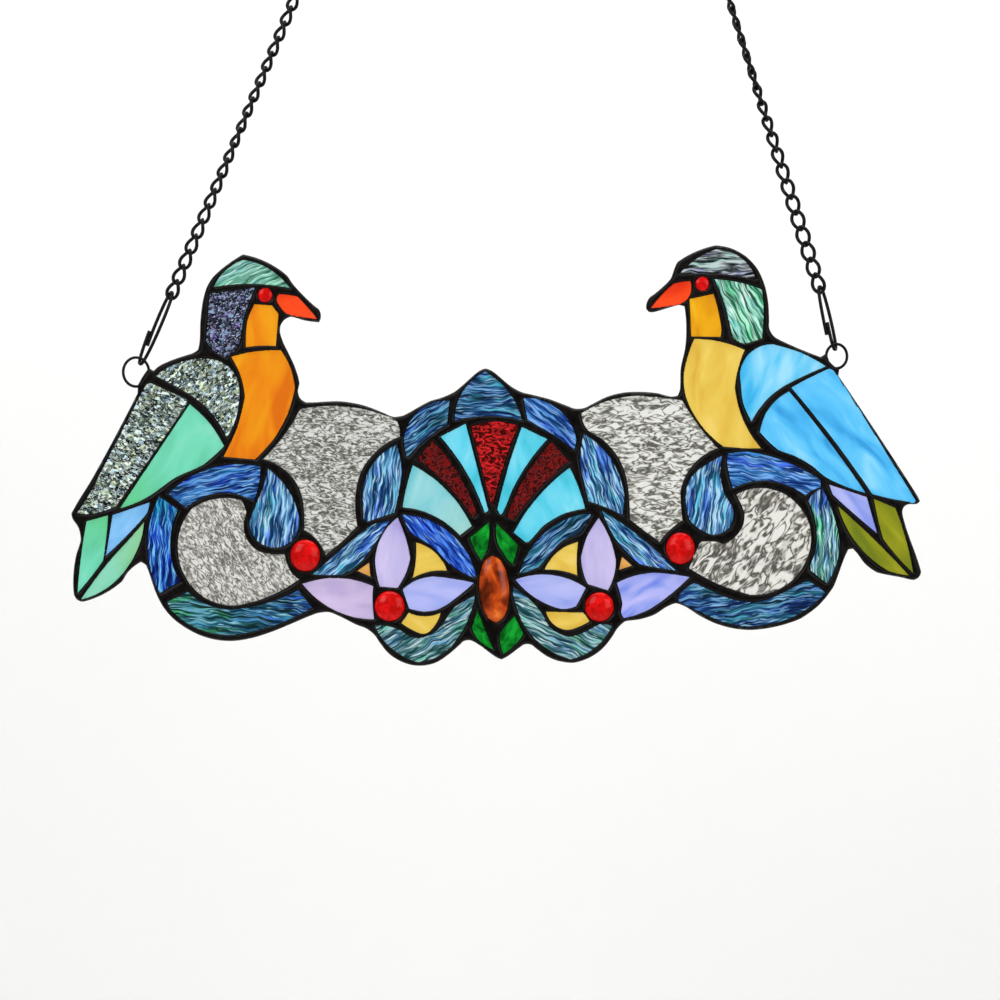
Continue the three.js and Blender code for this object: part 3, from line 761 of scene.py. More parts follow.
def water(
    name: str, slot: str, shades: str, tints: str, glint: str, fade: str = "", fade_at: float = 0.55
) -> SheetGlass:
    """A streaky water glass.

    Args:
        name: its colour.
        slot: its material slot.
        shades: its five shades.
        tints: two colours that broad patches lean to.
        glint: the colour of its bright threads, which are painted highlights.
        fade: a colour that it turns to along the tile.
        fade_at: where that turn is half done.

    Returns:
        The finish.
    """
    look = {"tints": tints, "glint": glint, "fade": fade, "fade_at": fade_at}
    return SheetGlass(
        f"{name} water glass", slot, shades, Figure.STREAK, (17, 1.7), spread=0.12, clarity=0.12, relief=0.35, **look
    )


SEA_GREEN = water(
    "sea green", "glass_sea_green", "#34705A #529079 #6CB29B #88C8B6 #B2E6D8", "#58A37C #6DB5B8", "#D8F8EE"
)
NAPE_GREEN = water(
    "bright sea green", "glass_sea_green", "#235E46 #478A6E #6CB49C #92D8C2 #CCFCEC", "#3F9A6C #6FC5BB", "#E6FFF6"
)
SILVER = water("silver", "glass_glitter", "#12191C #3A4347 #666E72 #929B9F #D0DAE0", "#5C5A86 #6B8C83", "#CCD8DE")
ROYAL = water(
    "royal blue",
    "glass_cobalt",
    "#00155C #052A8C #1343B0 #3578D4 #80D2FF",
    "#0A2CC8 #1F58C0",
    "#7CC8F8",
    fade="#1FA6B8",
    fade_at=0.95,
)
SAPPHIRE = water("sapphire", "glass_cobalt", "#00247E #103AA8 #2052C6 #366CE2 #62A0FF", "#1C44D0 #2E60D0", "#8CC0FF")
COBALT = water("cobalt", "glass_cobalt", "#06235A #123C7A #2256A2 #3874C2 #6AA8E6", "#1B3FC0 #286CA8", "#8CC4F4")
HYACINTH = water(
    "light cobalt", "glass_cobalt", "#082F6C #1E5094 #386EB8 #558ED6 #86BCFC", "#2850C8 #2C74B8", "#98C8FF"
)
BREEZE = water("bright blue", "glass_cobalt", "#0A3260 #205080 #3A6EA4 #649CCE #B0E2FC", "#2C5CC0 #30809C", "#C8EEFF")
DENIM = water("denim blue", "glass_cobalt", "#051E3A #0F305C #1E4A7A #34689A #74AAD4", "#2350B0 #2A7488", "#90C4E8")
LAGOON = water("lagoon", "glass_lagoon", "#143E46 #2C5C66 #4A7A84 #6E9EA4 #A6D0D8", "#2F7A5C #3F78A0", "#D4F0F2")
REEF = water(
    "reef",
    "glass_lagoon",
    "#123C50 #30646C #4E8690 #74A8B4 #C0ECF2",
    "#2F8A5C #3878B0",
    "#E0FAFC",
    fade="#1838C8",
    fade_at=0.9,
)
SEAWEED = water(
    "seaweed",
    "glass_lagoon",
    "#0A3236 #1A4A54 #2A6872 #408492 #6CB0C6",
    "#2E8050 #2A7494",
    "#8CCCE0",
    fade="#2C64C0",
    fade_at=0.65,
)

# Ripple glass keeps its melt clear: what shows is the edge of each wave over what lies behind, painted in as
# a line: grey painted shade in clear glass, and a painted highlight in ruby glass, which is dark between its waves.


def ripple(
    name: str, slot: str, shades: str, grain: tuple[float, float], clarity: float = 0.4, glint: str = "#FFFFFC"
) -> SheetGlass:
    """A ripple glass.

    Args:
        name: its colour.
        slot: its material slot.
        shades: its five shades, the waves' painted edges first.
        grain: the length and width of a wave in millimetres.
        clarity: how much light goes through clear.
        glint: the colour of its crests, which are painted highlights.

    Returns:
        The finish.
    """
    return SheetGlass(f"{name} ripple glass", slot, shades, Figure.RIPPLE, grain, clarity=clarity, glint=glint)


FROST = ripple("clear", "glass_frost", "#66665F #92928B #B6B6AF #CECEC8 #F0F0EC", (5.5, 2.6))
BRIGHT_FROST = ripple("bright clear", "glass_frost", "#6A6A61 #A2A299 #D4D4CC #F0F0EA #FFFFFA", (8, 3.6))
MOONSTONE = ripple("moonstone", "glass_moonstone", "#787871 #A29F99 #C0C0B9 #D6D6D0 #F6F5EF", (5, 2.4))
PEARL = ripple("pearl", "glass_moonstone", "#64615A #98958D #CAC7BE #EEECE4 #FFFFF8", (10, 4.6))
RUBY = ripple("ruby", "glass_ruby", "#D82226 #961212 #6C0C0A #560504 #400100", (6, 3), clarity=0.0, glint="")
DEEP_RUBY = ripple(
    "deep ruby", "glass_ruby", "#7E1212 #60100E #4C0C0A #3E0706 #2E0202", (3.4, 3), clarity=0.0, glint=""
)

# Iridised glass is sprayed with metal salts while hot, which leaves a skin of many small bright facets. Their
# white and near-black greys are partly the skin's own hues and partly painted highlight and painted shade.
IRIDESCENT = SheetGlass(
    "iridescent crackle glass",
    "glass_glitter",
    "#0E1A17 #2A3A35 #56685F #92A49B #ECF8F2",
    Figure.FLECK,
    (2.1, 1.3),
    spread=0.26,
    roughness=0.14,
    relief=0.2,
    tints="#87976A #6E8DA0",
    glint="#F6FCF8",
)
MIDNIGHT = SheetGlass(
    "midnight adventurine glass",
    "glass_midnight",
    "#0C0E13 #181A25 #262838 #3C3F56 #98A4C4",
    Figure.FLECK,
    (2.0, 1.5),
    spread=0.28,
    roughness=0.12,
    relief=0.15,
    tints="#4C3080 #2F6078",
    glint="#C4CCEC",
)

RUBY_JEWEL = PressedJewel(
    "pressed ruby jewel glass", "glass_ruby", "#A80704 #C00C08 #D00E0E #DE1211 #F01A1A", swirl=5, clarity=0.0
)
AMBER_JEWEL = PressedJewel(
    "pressed amber jewel glass", "glass_amber", "#5C1E00 #9A340A #C84A10 #E8641A #FC862A", swirl=12, clarity=0.25
)
SOLDER = BlackedMetal("black patina on tin solder", "solder", "#060403 #151110", grain=5, relief=0.2)
WIRE = BlackedMetal("black coated steel wire", "wire", "#0E0E0E #1C1C1C", grain=2, relief=0.05)
PAPER = MattPaper("matt white paper", "", "#FAFAF9")


def new_piece(
    name: str,
    points: np.ndarray,
    faces: np.ndarray | list,
    finish: Finish,
    node: str,
    charts: Mapping[str, np.ndarray] | None = None,
) -> None:
    """Makes a mesh object that rides on the panel, and reports it.

    Args:
        name: the piece's name.
        points: its vertices in metres, one row each.
        faces: rows or lists of vertex numbers, anticlockwise from outside.
        finish: what it is made of.
        node: the CAD node that it stands for.
        charts: its UV maps by name, with a row for each vertex.
    """
    mesh = bpy.data.meshes.new(name)
    mesh.from_pydata(points.tolist(), [], faces.tolist() if isinstance(faces, np.ndarray) else faces)
    mesh.polygons.foreach_set("use_smooth", np.ones(len(mesh.polygons), dtype=bool))
    corners = np.empty(len(mesh.loops), dtype=np.int32)
    mesh.loops.foreach_get("vertex_index", corners)
    for title, chart in (charts or {}).items():
        layer = mesh.uv_layers.new(name=title)
        layer.data.foreach_set("uv", chart[corners].astype(np.float32).ravel())
    mesh.materials.append(finish.material())
    mesh.validate()
    mesh.set_sharp_from_angle(angle=np.radians(SHARP_DEGREES))
    piece = bpy.data.objects.new(name, mesh)
    bpy.context.scene.collection.objects.link(piece)
    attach(piece, ROOT)
    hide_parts(node)
    LOG.info("%s: %s, %d faces", name, finish.name, len(mesh.polygons))


# The panel's lines

PANEL_WIDTH = 517 * MM
CARTOON_LEFT = 71.5
CARTOON_RIGHT = 920
HANGING_POINT = (512.6, -22)
CARTOON_UNIT = PANEL_WIDTH / (CARTOON_RIGHT - CARTOON_LEFT)
SOLDER_FACE = 2.8 * MM
GLASS_FACE = 1.5 * MM
SHEET_FACE = GLASS_FACE - 0.08 * MM
SAME_LEVEL = 0.02 * MM


def placed(across: float, down: float) -> np.ndarray:
    """A point of the cartoon, counted in its units right and down, as metres in the panel's plane."""
    return np.array([across - HANGING_POINT[0], HANGING_POINT[1] - down]) * CARTOON_UNIT


def upright(plane: np.ndarray, depth: np.ndarray | float) -> np.ndarray:
    """Points of the panel's plane stood up: across, depth to the back, up."""
    return np.stack([plane[:, 0], np.broadcast_to(depth, len(plane)), plane[:, 1]], axis=1)


def inside(points: np.ndarray, loops: list[np.ndarray], chunk: int = 400) -> np.ndarray:
    """Which points lie inside outlines: an odd count of crossings to their right.

    Args:
        points: the points, one row each.
        loops: closed outlines; a loop inside another is a hole.
        chunk: how many points are worked out at a time.

    Returns:
        True for each point inside.
    """
    start = np.concatenate(loops)
    end = np.concatenate([np.roll(loop, -1, axis=0) for loop in loops])
    slope = (end[:, 0] - start[:, 0]) / np.where(end[:, 1] == start[:, 1], 1, end[:, 1] - start[:, 1])
    answers = []
    for part in np.array_split(points, max(1, len(points) // chunk)):
        level = part[:, 1, None]
        spans = (start[:, 1] > level) != (end[:, 1] > level)
        wall = start[:, 0] + (level - start[:, 1]) * slope
        answers.append((spans & (wall > part[:, 0, None])).sum(1) % 2 == 1)
    return np.concatenate(answers)


def filled(loops: list[np.ndarray], spacing: float) -> tuple[np.ndarray, np.ndarray, list[np.ndarray]]:
    """A flat net of triangles between outlines.

    The outlines' points and a hexagonal grid between them are joined so that no point lies in another
    triangle's circle, and each outline's own sides are kept.

    Args:
        loops: the outlines; a loop inside another is a hole.
        spacing: the distance between the grid's points.

    Returns:
        The points, the triangles, and for each outline the numbers of its points in order.
    """
    rims = np.concatenate(loops)
    grid = grid_inside(loops, spacing)
    grid = grid[nearest(grid, rims) > 0.5 * spacing]
    points = np.concatenate([rims, grid])
    starts = np.cumsum([0] + [len(loop) for loop in loops])
    rings = [np.arange(a, b) for a, b in zip(starts, starts[1:])]
    sides = np.concatenate([np.stack([ring, np.roll(ring, -1)], axis=1) for ring in rings])
    found, _, faces, sources, _, _ = delaunay_2d_cdt(
        [Vector(point) for point in (points / MM).tolist()], sides.tolist(), [], 0, 1e-6
    )
    places = np.array([tuple(point) for point in found]) * MM
    triangles = np.array([face for face in faces if len(face) == 3])
    lead = np.array([source[0] if source else -1 for source in sources])
    where = np.full(len(points), -1)
    for_each = np.concatenate([np.full(len(source), i) for i, source in enumerate(sources)])
    where[np.concatenate(sources).astype(int)] = for_each
    keep = (lead[triangles] >= len(rims)).any(1)
    keep[~keep] = inside(places[triangles[~keep]].mean(1), loops)
    return places, triangles[keep], [where[ring] for ring in rings]


def closed_plate(
    front: np.ndarray, back: np.ndarray, triangles: np.ndarray, rings: list[np.ndarray]
) -> tuple[np.ndarray, np.ndarray]:
    """Joins a front net and its copy behind by walls along the outlines.

    Args:
        front: the front's points.
        back: the back's points, in the same order.
        triangles: the net, anticlockwise seen from the front.
        rings: the outlines' point numbers, the outer one first.

    Returns:
        All the points and all the triangles.
    """
    count = len(front)
    walls = []
    for number, ring in enumerate(rings):
        here, there = (ring, np.roll(ring, -1)) if number == 0 else (np.roll(ring, -1), ring)
        walls.append(np.stack([here, here + count, there + count], axis=1))
        walls.append(np.stack([here, there + count, there], axis=1))
    return np.concatenate([front, back]), np.concatenate([triangles, triangles[:, ::-1] + count, *walls])


@dataclass
class Cartoon:
    """The panel's drawing, read from its solids: the outline of each window and the outer edge."""

    spacing: float = 0.9 * MM
    gap: float = 0.3 * MM
    windows: dict[str, np.ndarray] = field(init=False)
    fixed: list[np.ndarray] = field(init=False)
    edge: np.ndarray = field(init=False)

    def __post_init__(self) -> None:
        """Finds each window from the flat back of the glass in it, and the edge at the foot of its chamfer."""
        loose = [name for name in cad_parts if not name.endswith(("_web", "_ring", "_hook", "_chain"))]
        self.windows = {name: widened(self._backs(name)[0], self.gap) for name in loose}
        self.fixed = self._backs("solder_web")
        corners, triangles = self._solid("solder_web")
        first, second, third = (corners[triangles[:, i]] for i in range(3))
        slant = unit(np.cross(second - first, third - first))[:, 1]
        chamfer = triangles[(slant < -0.3) & (slant > -0.95)]
        edges = np.concatenate([chamfer[:, [0, 1]], chamfer[:, [1, 2]], chamfer[:, [2, 0]]])
        low = np.abs(corners[:, 1][edges] + GLASS_FACE).max(1) < SAME_LEVEL
        edge = max(traced_loops(corners[:, ::2], edges[low]), key=area_of)
        self.edge = smoothed(edge, self.spacing)

    @staticmethod
    def _solid(name: str) -> tuple[np.ndarray, np.ndarray]:
        """A node's mesh.

        Args:
            name: the node's name.

        Returns:
            Its corners, each once, and its triangles.
        """
        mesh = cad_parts[name].data
        places = np.empty(len(mesh.vertices) * 3, dtype=np.float32)
        mesh.vertices.foreach_get("co", places)
        corners, which = np.unique(places.reshape(-1, 3), axis=0, return_inverse=True)
        faces = np.empty(len(mesh.loops), dtype=np.int32)
        mesh.loops.foreach_get("vertex_index", faces)
        return corners.astype(float), which.ravel()[faces].reshape(-1, 3)

    def _backs(self, name: str) -> list[np.ndarray]:
        """The outlines of a node's glass where its back lies flat.

        Args:
            name: the node's name.

        Returns:
            The loops of those sides that only one of the back's triangles has.
        """
        corners, triangles = self._solid(name)
        flat = triangles[np.abs(corners[:, 1][triangles] - GLASS_FACE).max(1) < SAME_LEVEL]
        edges = np.concatenate([flat[:, [0, 1]], flat[:, [1, 2]], flat[:, [2, 0]]])
        forward = edges[:, 0] * len(corners) + edges[:, 1]
        backward = edges[:, 1] * len(corners) + edges[:, 0]
        return traced_loops(corners[:, ::2], edges[~np.isin(forward, backward)])

    def window_at(self, place: np.ndarray) -> np.ndarray:
        """The window of a fixed tile whose middle is nearest to a place in the plane."""
        return min(self.fixed, key=lambda loop: np.linalg.norm(centre_of(loop) - place))

    def all_windows(self) -> list[np.ndarray]:
        """Every window's outline, with its curves."""
        return [smoothed(loop, self.spacing) for loop in (*self.windows.values(), *self.fixed)]


# Glass


@dataclass(frozen=True)
class Tile:
    """One cut piece of glass.

    Attributes:
        glass: its finish.
        grain: the angle of the roll's grain, in degrees anticlockwise from level.
        at: for a small tile that is one with the solid web, its middle in the cartoon.
        dome: how far the middle stands out in front of its rim, for a jewel.
        fade: the direction in which its colour turns, in degrees anticlockwise from rightwards.
    """

    glass: SheetGlass | PressedJewel
    grain: float = 0
    at: tuple[float, float] | None = None
    dome: float = 0
    fade: float = 0


@dataclass
class TileGroup:
    """A figure of the panel made of cut glass. Its fields are its tiles, each in its own window."""

    name: str

    def build(self, cartoon: Cartoon) -> None:
        """Makes each tile."""
        for part, tile in vars(self).items():
            if isinstance(tile, Tile):
                self._cut(f"{self.name}_{part}", tile, cartoon)

    def _cut(self, name: str, tile: Tile, cartoon: Cartoon) -> None:
        """Cuts one tile to its window, with 0.5 mm of glass under the solder all round.

        Args:
            name: the tile's name, which also picks its place in the sheet of glass.
            tile: what is cut.
            cartoon: the panel's drawing.
        """
        node, window = name, cartoon.windows.get(name)
        if tile.at:
            node, window = "solder_web", cartoon.window_at(placed(*tile.at))
        lap, spacing, jewel_spacing, jewel_corner = 0.5 * MM, 2 * MM, 0.8 * MM, 60
        if tile.dome:
            points, faces = self._domed(widened(smoothed(window, jewel_spacing, jewel_corner), lap), tile.dome)
        else:
            points, faces = self._sheet(widened(smoothed(window, spacing), lap), name)
        seed = sum(ord(letter) * (i + 1) for i, letter in enumerate(name))
        shift = np.random.default_rng(seed).uniform(0, 4, 2) * FLOW_UNIT
        flow = (turned(points[:, ::2], -tile.grain) + shift) / FLOW_UNIT
        way = turned(points[:, ::2], -tile.fade)[:, 0]
        fade = np.repeat((way - way.min())[:, None] / np.ptp(way), 2, axis=1)
        new_piece(name, points, faces, tile.glass, node, {FLOW_MAP: flow, FADE_MAP: fade})

    @staticmethod
    def _sheet(outline: np.ndarray, name: str) -> tuple[np.ndarray, np.ndarray]:
        """A pane 2.9 mm thick: a net over the outline, its front gently swelling, its back flat.

        Args:
            outline: the pane's outline.
            name: its name, whose length picks the swell.

        Returns:
            The vertices and the triangles.
        """
        spacing, height, wave = 3 * MM, 0.07 * MM, 16 * MM
        places, triangles, rings = filled([outline], spacing)
        rise = height * swell(places[:, 0], places[:, 1], wave, len(name))
        return closed_plate(upright(places, -SHEET_FACE + rise), upright(places, SHEET_FACE), triangles, rings)

    @staticmethod
    def _domed(outline: np.ndarray, dome: float) -> tuple[np.ndarray, np.ndarray]:
        """A jewel: its outline shrunk to its middle in rings, each standing out by dome times the rise.

        The rise at a share r of the way out is (1 - r to the power 2.4) to the power 0.62. The rings' shares are
        the sines of even steps of a quarter turn.

        Args:
            outline: the jewel's outline.
            dome: how far its middle stands out.

        Returns:
            The vertices and the triangles.
        """
        rings, rim, count = 16, -GLASS_FACE + 0.2 * MM, len(outline)
        middle = centre_of(outline)
        share = np.sin(np.linspace(0, np.pi / 2, rings + 1))[:0:-1]
        plane = (middle + share[:, None, None] * (outline - middle)).reshape(-1, 2)
        front = upright(plane, rim - dome * (1 - np.repeat(share, count) ** 2.4) ** 0.62)
        ends = upright(np.stack([middle, middle]), np.array([rim - dome, SHEET_FACE]))
        top, behind = len(front), len(front) + 1
        hub = behind + count
        here = np.arange(count)
        there = np.roll(here, -1)
        row = count * np.arange(rings - 1)[:, None]
        last = count * (rings - 1)
        corners = (
            (row + here, row + there, row + there + count),
            (row + here, row + there + count, row + here + count),
            (last + here, last + there, np.full(count, top)),
            (here, behind + here, behind + there),
            (here, behind + there, there),
            (behind + there, behind + here, np.full(count, hub)),
        )
        faces = np.concatenate([np.stack(three, axis=-1).reshape(-1, 3) for three in corners])
        return np.concatenate([front, ends[:1], upright(outline, SHEET_FACE), ends[1:]]), faces


JEWEL_DOME = 3.5 * MM
EYE_DOME = 1.4 * MM


@dataclass
class LeftBird(TileGroup):
    """The left bird, which looks to the right: green cap, dark nape, orange breast, iridescent wings."""

    name: str = "left_bird"
    cap: Tile = Tile(SEA_GREEN, 25)
    nape: Tile = Tile(MIDNIGHT, 30)
    eye: Tile = Tile(RUBY_JEWEL, 0, (265.3, 295.2), EYE_DOME)
    beak: Tile = Tile(SCARLET, 0, (292, 303))
    throat: Tile = Tile(ORANGE, 90, (262, 325))
    breast: Tile = Tile(ORANGE, 80)
    shoulder: Tile = Tile(IRIDESCENT, 40)
    outer_wing: Tile = Tile(IRIDESCENT, -20)
    inner_wing: Tile = Tile(MINT, 60, fade=-120)
    left_tail: Tile = Tile(MINT, 60, (92, 545), fade=90)
    middle_tail: Tile = Tile(CORNFLOWER, 45, (125, 525))
    lower_tail: Tile = Tile(JADE, 60, (118, 560), fade=45)


@dataclass
class RightBird(TileGroup):
    """The right bird, which looks to the left: silver cap, honey breast, blue wings, lilac and olive tail."""

    name: str = "right_bird"
    cap: Tile = Tile(SILVER, 0)
    nape: Tile = Tile(NAPE_GREEN, -62)
    eye: Tile = Tile(RUBY_JEWEL, 0, (702.2, 284), EYE_DOME)
    beak: Tile = Tile(SCARLET, 0, (676, 291))
    throat: Tile = Tile(MARIGOLD, 90, (704, 318))
    breast: Tile = Tile(HONEY, 80)
    shoulder: Tile = Tile(SKY, 70)
    inner_wing: Tile = Tile(AZURE, -50)
    outer_wing: Tile = Tile(AZURE, -50)
    upper_tail: Tile = Tile(PERIWINKLE, -50, (855, 505))
    right_tail: Tile = Tile(OLIVE, -50, (893, 530))
    lower_tail: Tile = Tile(OLIVE, -50, (868, 545))


@dataclass
class LeftScroll(TileGroup):
    """The scroll under the left bird, round a red jewel."""

    name: str = "left_scroll"
    top_arc: Tile = Tile(COBALT, 12)
    teardrop: Tile = Tile(BREEZE, 85)
    side_arc: Tile = Tile(ROYAL, 88, fade=90)
    bottom_arc: Tile = Tile(SEAWEED, -6, fade=0)
    middle: Tile = Tile(MOONSTONE, -50)
    berry: Tile = Tile(RUBY_JEWEL, 0, dome=JEWEL_DOME)


@dataclass
class RightScroll(TileGroup):
    """The scroll under the right bird, round a red jewel."""

    name: str = "right_scroll"
    top_arc: Tile = Tile(HYACINTH, -12)
    teardrop: Tile = Tile(BREEZE, 80)
    side_arc: Tile = Tile(REEF, 88, fade=90)
    bottom_arc: Tile = Tile(DENIM, 8, fade=0)
    middle: Tile = Tile(PEARL, 50)
    berry: Tile = Tile(RUBY_JEWEL, 0, dome=JEWEL_DOME)


@dataclass
class Background(TileGroup):
    """The clear glass between each bird and the crest."""

    name: str = "background"
    left: Tile = Tile(FROST, -5)
    right: Tile = Tile(BRIGHT_FROST, 0)


@dataclass
class Arch(TileGroup):
    """The blue arch over the fan."""

    name: str = "arch"
    low_left: Tile = Tile(BREEZE, 85)
    high_left: Tile = Tile(DENIM, 35)
    crown: Tile = Tile(DENIM, 0)
    high_right: Tile = Tile(HYACINTH, -38)
    low_right: Tile = Tile(BREEZE, -72)


@dataclass
class Fan(TileGroup):
    """The fan of turquoise and ruby ribs."""

    name: str = "fan"
    turquoise_1: Tile = Tile(PALE_TURQUOISE, 60, fade=-60)
    ruby_1: Tile = Tile(DEEP_RUBY, -12)
    turquoise_2: Tile = Tile(TURQUOISE, 75)
    ruby_2: Tile = Tile(RUBY, -8)
    turquoise_3: Tile = Tile(TURQUOISE, 100)
    ruby_3: Tile = Tile(DEEP_RUBY, -10)
    turquoise_4: Tile = Tile(TURQUOISE, 120)


@dataclass
class Centre(TileGroup):
    """The amber oval and the four leaves around it."""

    name: str = "centre"
    oval: Tile = Tile(AMBER_JEWEL, 90, dome=JEWEL_DOME)
    top_left_leaf: Tile = Tile(LEAF, 60, (482, 541))
    top_right_leaf: Tile = Tile(LEAF, -60, (507, 545))
    low_left_leaf: Tile = Tile(LEAF, -60, (481, 630))
    low_right_leaf: Tile = Tile(LEAF, 60, (509, 634))


@dataclass
class LeftFlower(TileGroup):
    """The flower left of the oval, with its strips and scroll."""

    name: str = "left_flower"
    up_petal: Tile = Tile(LAVENDER, 90)
    left_petal: Tile = Tile(ORCHID, 0)
    right_petal: Tile = Tile(PERIWINKLE, 0)
    berry: Tile = Tile(RUBY_JEWEL, 0, dome=JEWEL_DOME)
    right_strip: Tile = Tile(SAPPHIRE, -50)
    left_strip: Tile = Tile(BREEZE, 40)
    bottom_scroll: Tile = Tile(LAGOON, 30)
    upper_gold: Tile = Tile(HONEY, 30, (426, 563))
    small_gold: Tile = Tile(PEACH, 30, (366, 570))
    lower_gold: Tile = Tile(HONEY, -30, (420, 621))


@dataclass
class RightFlower(TileGroup):
    """The flower right of the oval, with its strips and scroll."""

    name: str = "right_flower"
    up_petal: Tile = Tile(LAVENDER, 90)
    left_petal: Tile = Tile(PERIWINKLE, 0)
    right_petal: Tile = Tile(IRIS, 30)
    berry: Tile = Tile(RUBY_JEWEL, 0, dome=JEWEL_DOME)
    left_strip: Tile = Tile(DENIM, 40)
    right_strip: Tile = Tile(BREEZE, -45)
    bottom_scroll: Tile = Tile(LAGOON, -25)
    upper_gold: Tile = Tile(HONEY, -30, (566, 562))
    small_gold: Tile = Tile(PEACH, -30, (624, 564))
    lower_gold: Tile = Tile(HONEY, 30, (566, 619))


# Solder and wire


@dataclass
class SolderWeb:
    """The soldered lines: copper foil over each tile's edge, beaded over with solder on both faces.

    Attributes:
        bead: half the width of a round bead.
        window_rim: the solder's height where it meets the glass.
        outer_rim: its height at the panel's outer edge.
        spacing: the distance between the points of its net.
        dent: the depth of its dents, as a share of its height.
        dent_wave: the distance between them.
    """

    bead: float = 2.7 * MM
    window_rim: float = 1.28 * MM
    outer_rim: float = 0.5 * MM
    spacing: float = 1 * MM
    dent: float = 0.035
    dent_wave: float = 9 * MM

    def build(self, cartoon: Cartoon) -> None:
        """Makes the web.

        Args:
            cartoon: the panel's drawing.
        """
        windows = cartoon.all_windows()
        places, triangles, rings = filled([cartoon.edge, *windows], self.spacing)
        inner, outer = nearest(places, np.concatenate(windows)), nearest(places, cartoon.edge)
        height = np.minimum(self._bead(inner, self.window_rim), self._bead(outer, self.outer_rim))
        front, back = (
            height * (1 + self.dent * (swell(places[:, 0], places[:, 1], self.dent_wave, seed) - 1)) for seed in (5, 6)
        )
        points, faces = closed_plate(upright(places, -front), upright(places, back), triangles, rings)
        new_piece("solder_web_beads", points, faces, SOLDER, "solder_web")

    def _bead(self, distance: np.ndarray, rim: float) -> np.ndarray:
        """The bead's height: from its rim up a quarter ellipse to the full height at its middle."""
        share = 1 - np.minimum(distance / self.bead, 1)
        return rim + (SOLDER_FACE - rim) * np.sqrt(1 - share**2)


def hung(points: np.ndarray, foot: np.ndarray, run: np.ndarray) -> np.ndarray:
    """Stands up points drawn along a hanging line.

    Args:
        points: places across the line, along it from its foot, and towards the viewer.
        foot: the line's foot in the panel's plane.
        run: from its foot to its head.

    Returns:
        The places in space: the line's own axes turned to its slope, with depth to the back.
    """
    ahead = unit(run)
    aside = np.array([ahead[1], -ahead[0]])
    plane = foot + points[..., :1] * aside + points[..., 1:2] * ahead
    return np.stack([plane[..., 0], -points[..., 2], plane[..., 1]], axis=-1)


@dataclass
class Hanger:
    """One side's wire ring through the web, squeezed hook and curb chain.

    Places are in the cartoon and turns in degrees; the chain's turns are at even steps on its way up.
    """

    side: str
    ring_at: tuple[float, float]
    ring_half: tuple[float, float]
    hook_from: tuple[float, float]
    hook_to: tuple[float, float]
    hook_turn: float
    chain_from: tuple[float, float]
    chain_to: tuple[float, float]
    links: int
    turns: tuple[float, ...]
    ring_wire: float = 1.75 * MM
    hook_wire: float = 2.1 * MM
    hook_width: float = 12 * MM
    chain_wire: float = 2.2 * MM
    link_width: float = 9.6 * MM
    link_overlap: float = 0.25 * MM
    sides: int = 14
    link_sides: int = 10

    def build(self) -> None:
        """Makes the ring, the hook and the chain."""
        for part, (points, faces) in (("ring", self._ring()), ("hook", self._hook()), ("chain", self._chain())):
            new_piece(f"{self.side}_{part}_wire", points, faces, WIRE, f"{self.side}_{part}")

    def _ring(self) -> tuple[np.ndarray, list]:
        """An ellipse of wire in the panel's plane, round the solder of its edge.

        Returns:
            The vertices and the faces.
        """
        turn = np.linspace(0, 2 * np.pi, 64, endpoint=False)
        half = np.array(self.ring_half) * CARTOON_UNIT
        plane = placed(*self.ring_at) + np.stack([half[0] * np.cos(turn), half[1] * np.sin(turn)], axis=1)
        return swept(upright(plane, 0.0), self.ring_wire / 2, self.sides)

    def _hook(self) -> tuple[np.ndarray, list]:
        """A squeezed loop of wire that closes past itself.

        Its angle runs a little more than once round. The width goes as the cosine to the power 0.75, the
        height as the sine, and the two ends part sideways as the cube of the way from the middle.

        Returns:
            The vertices and the faces.
        """
        seam_drop, overlap, squareness, parting = 0.105, 0.064, 0.75, 1.265 * MM
        foot, run = self._line(self.hook_from, self.hook_to)
        sweep = np.linspace(-1, 1, 90)
        angle = np.pi * (seam_drop + (1 + overlap) * sweep)
        across = np.sign(np.cos(angle)) * np.abs(np.cos(angle)) ** squareness
        across = across * (self.hook_width - self.hook_wire) / 2
        length = np.linalg.norm(run)
        along = length / 2 + (length - self.hook_wire) / 2 * np.sin(angle)
        aside = -parting * sweep**3
        turn = np.radians(-self.hook_turn)
        local = np.stack(
            [across * np.cos(turn) + aside * np.sin(turn), along, aside * np.cos(turn) - across * np.sin(turn)],
            axis=1,
        )
        return swept(hung(local, foot, run), self.hook_wire / 2, self.sides, closed=False)

    def _chain(self) -> tuple[np.ndarray, np.ndarray]:
        """A curb chain: each link an oval whose plane turns a quarter along it, one pitch after the last.

        Returns:
            The vertices and the faces.
        """
        foot, run = self._line(self.chain_from, self.chain_to)
        pitch = (np.linalg.norm(run) + self.link_overlap) / self.links
        length = pitch - self.link_overlap + self.chain_wire
        angle = np.linspace(0, 2 * np.pi, 40, endpoint=False)
        along = length / 2 * np.cos(angle)
        across = (self.link_width - self.chain_wire) / 2 * np.sin(angle)
        steps = np.linspace(0, self.links - 1, len(self.turns))
        points, faces = [], []
        for link in range(self.links):
            turn = np.radians(np.interp(link, steps, self.turns)) + np.pi / 2 * along / length
            middle = (pitch - self.link_overlap) / 2 + pitch * link
            local = np.stack([across * np.cos(turn), along + middle, across * np.sin(turn)], axis=1)
            oval, quads = swept(hung(local, foot, run), self.chain_wire / 2, self.link_sides)
            faces.append(np.array(quads) + len(oval) * link)
            points.append(oval)
        return np.concatenate(points), np.concatenate(faces)

    @staticmethod
    def _line(low: tuple[float, float], high: tuple[float, float]) -> tuple[np.ndarray, np.ndarray]:
        """A line's foot, and the way from there to its head."""
        foot = placed(*low)
        return foot, placed(*high) - foot


# Studio

SENSOR_WIDTH = 36.0


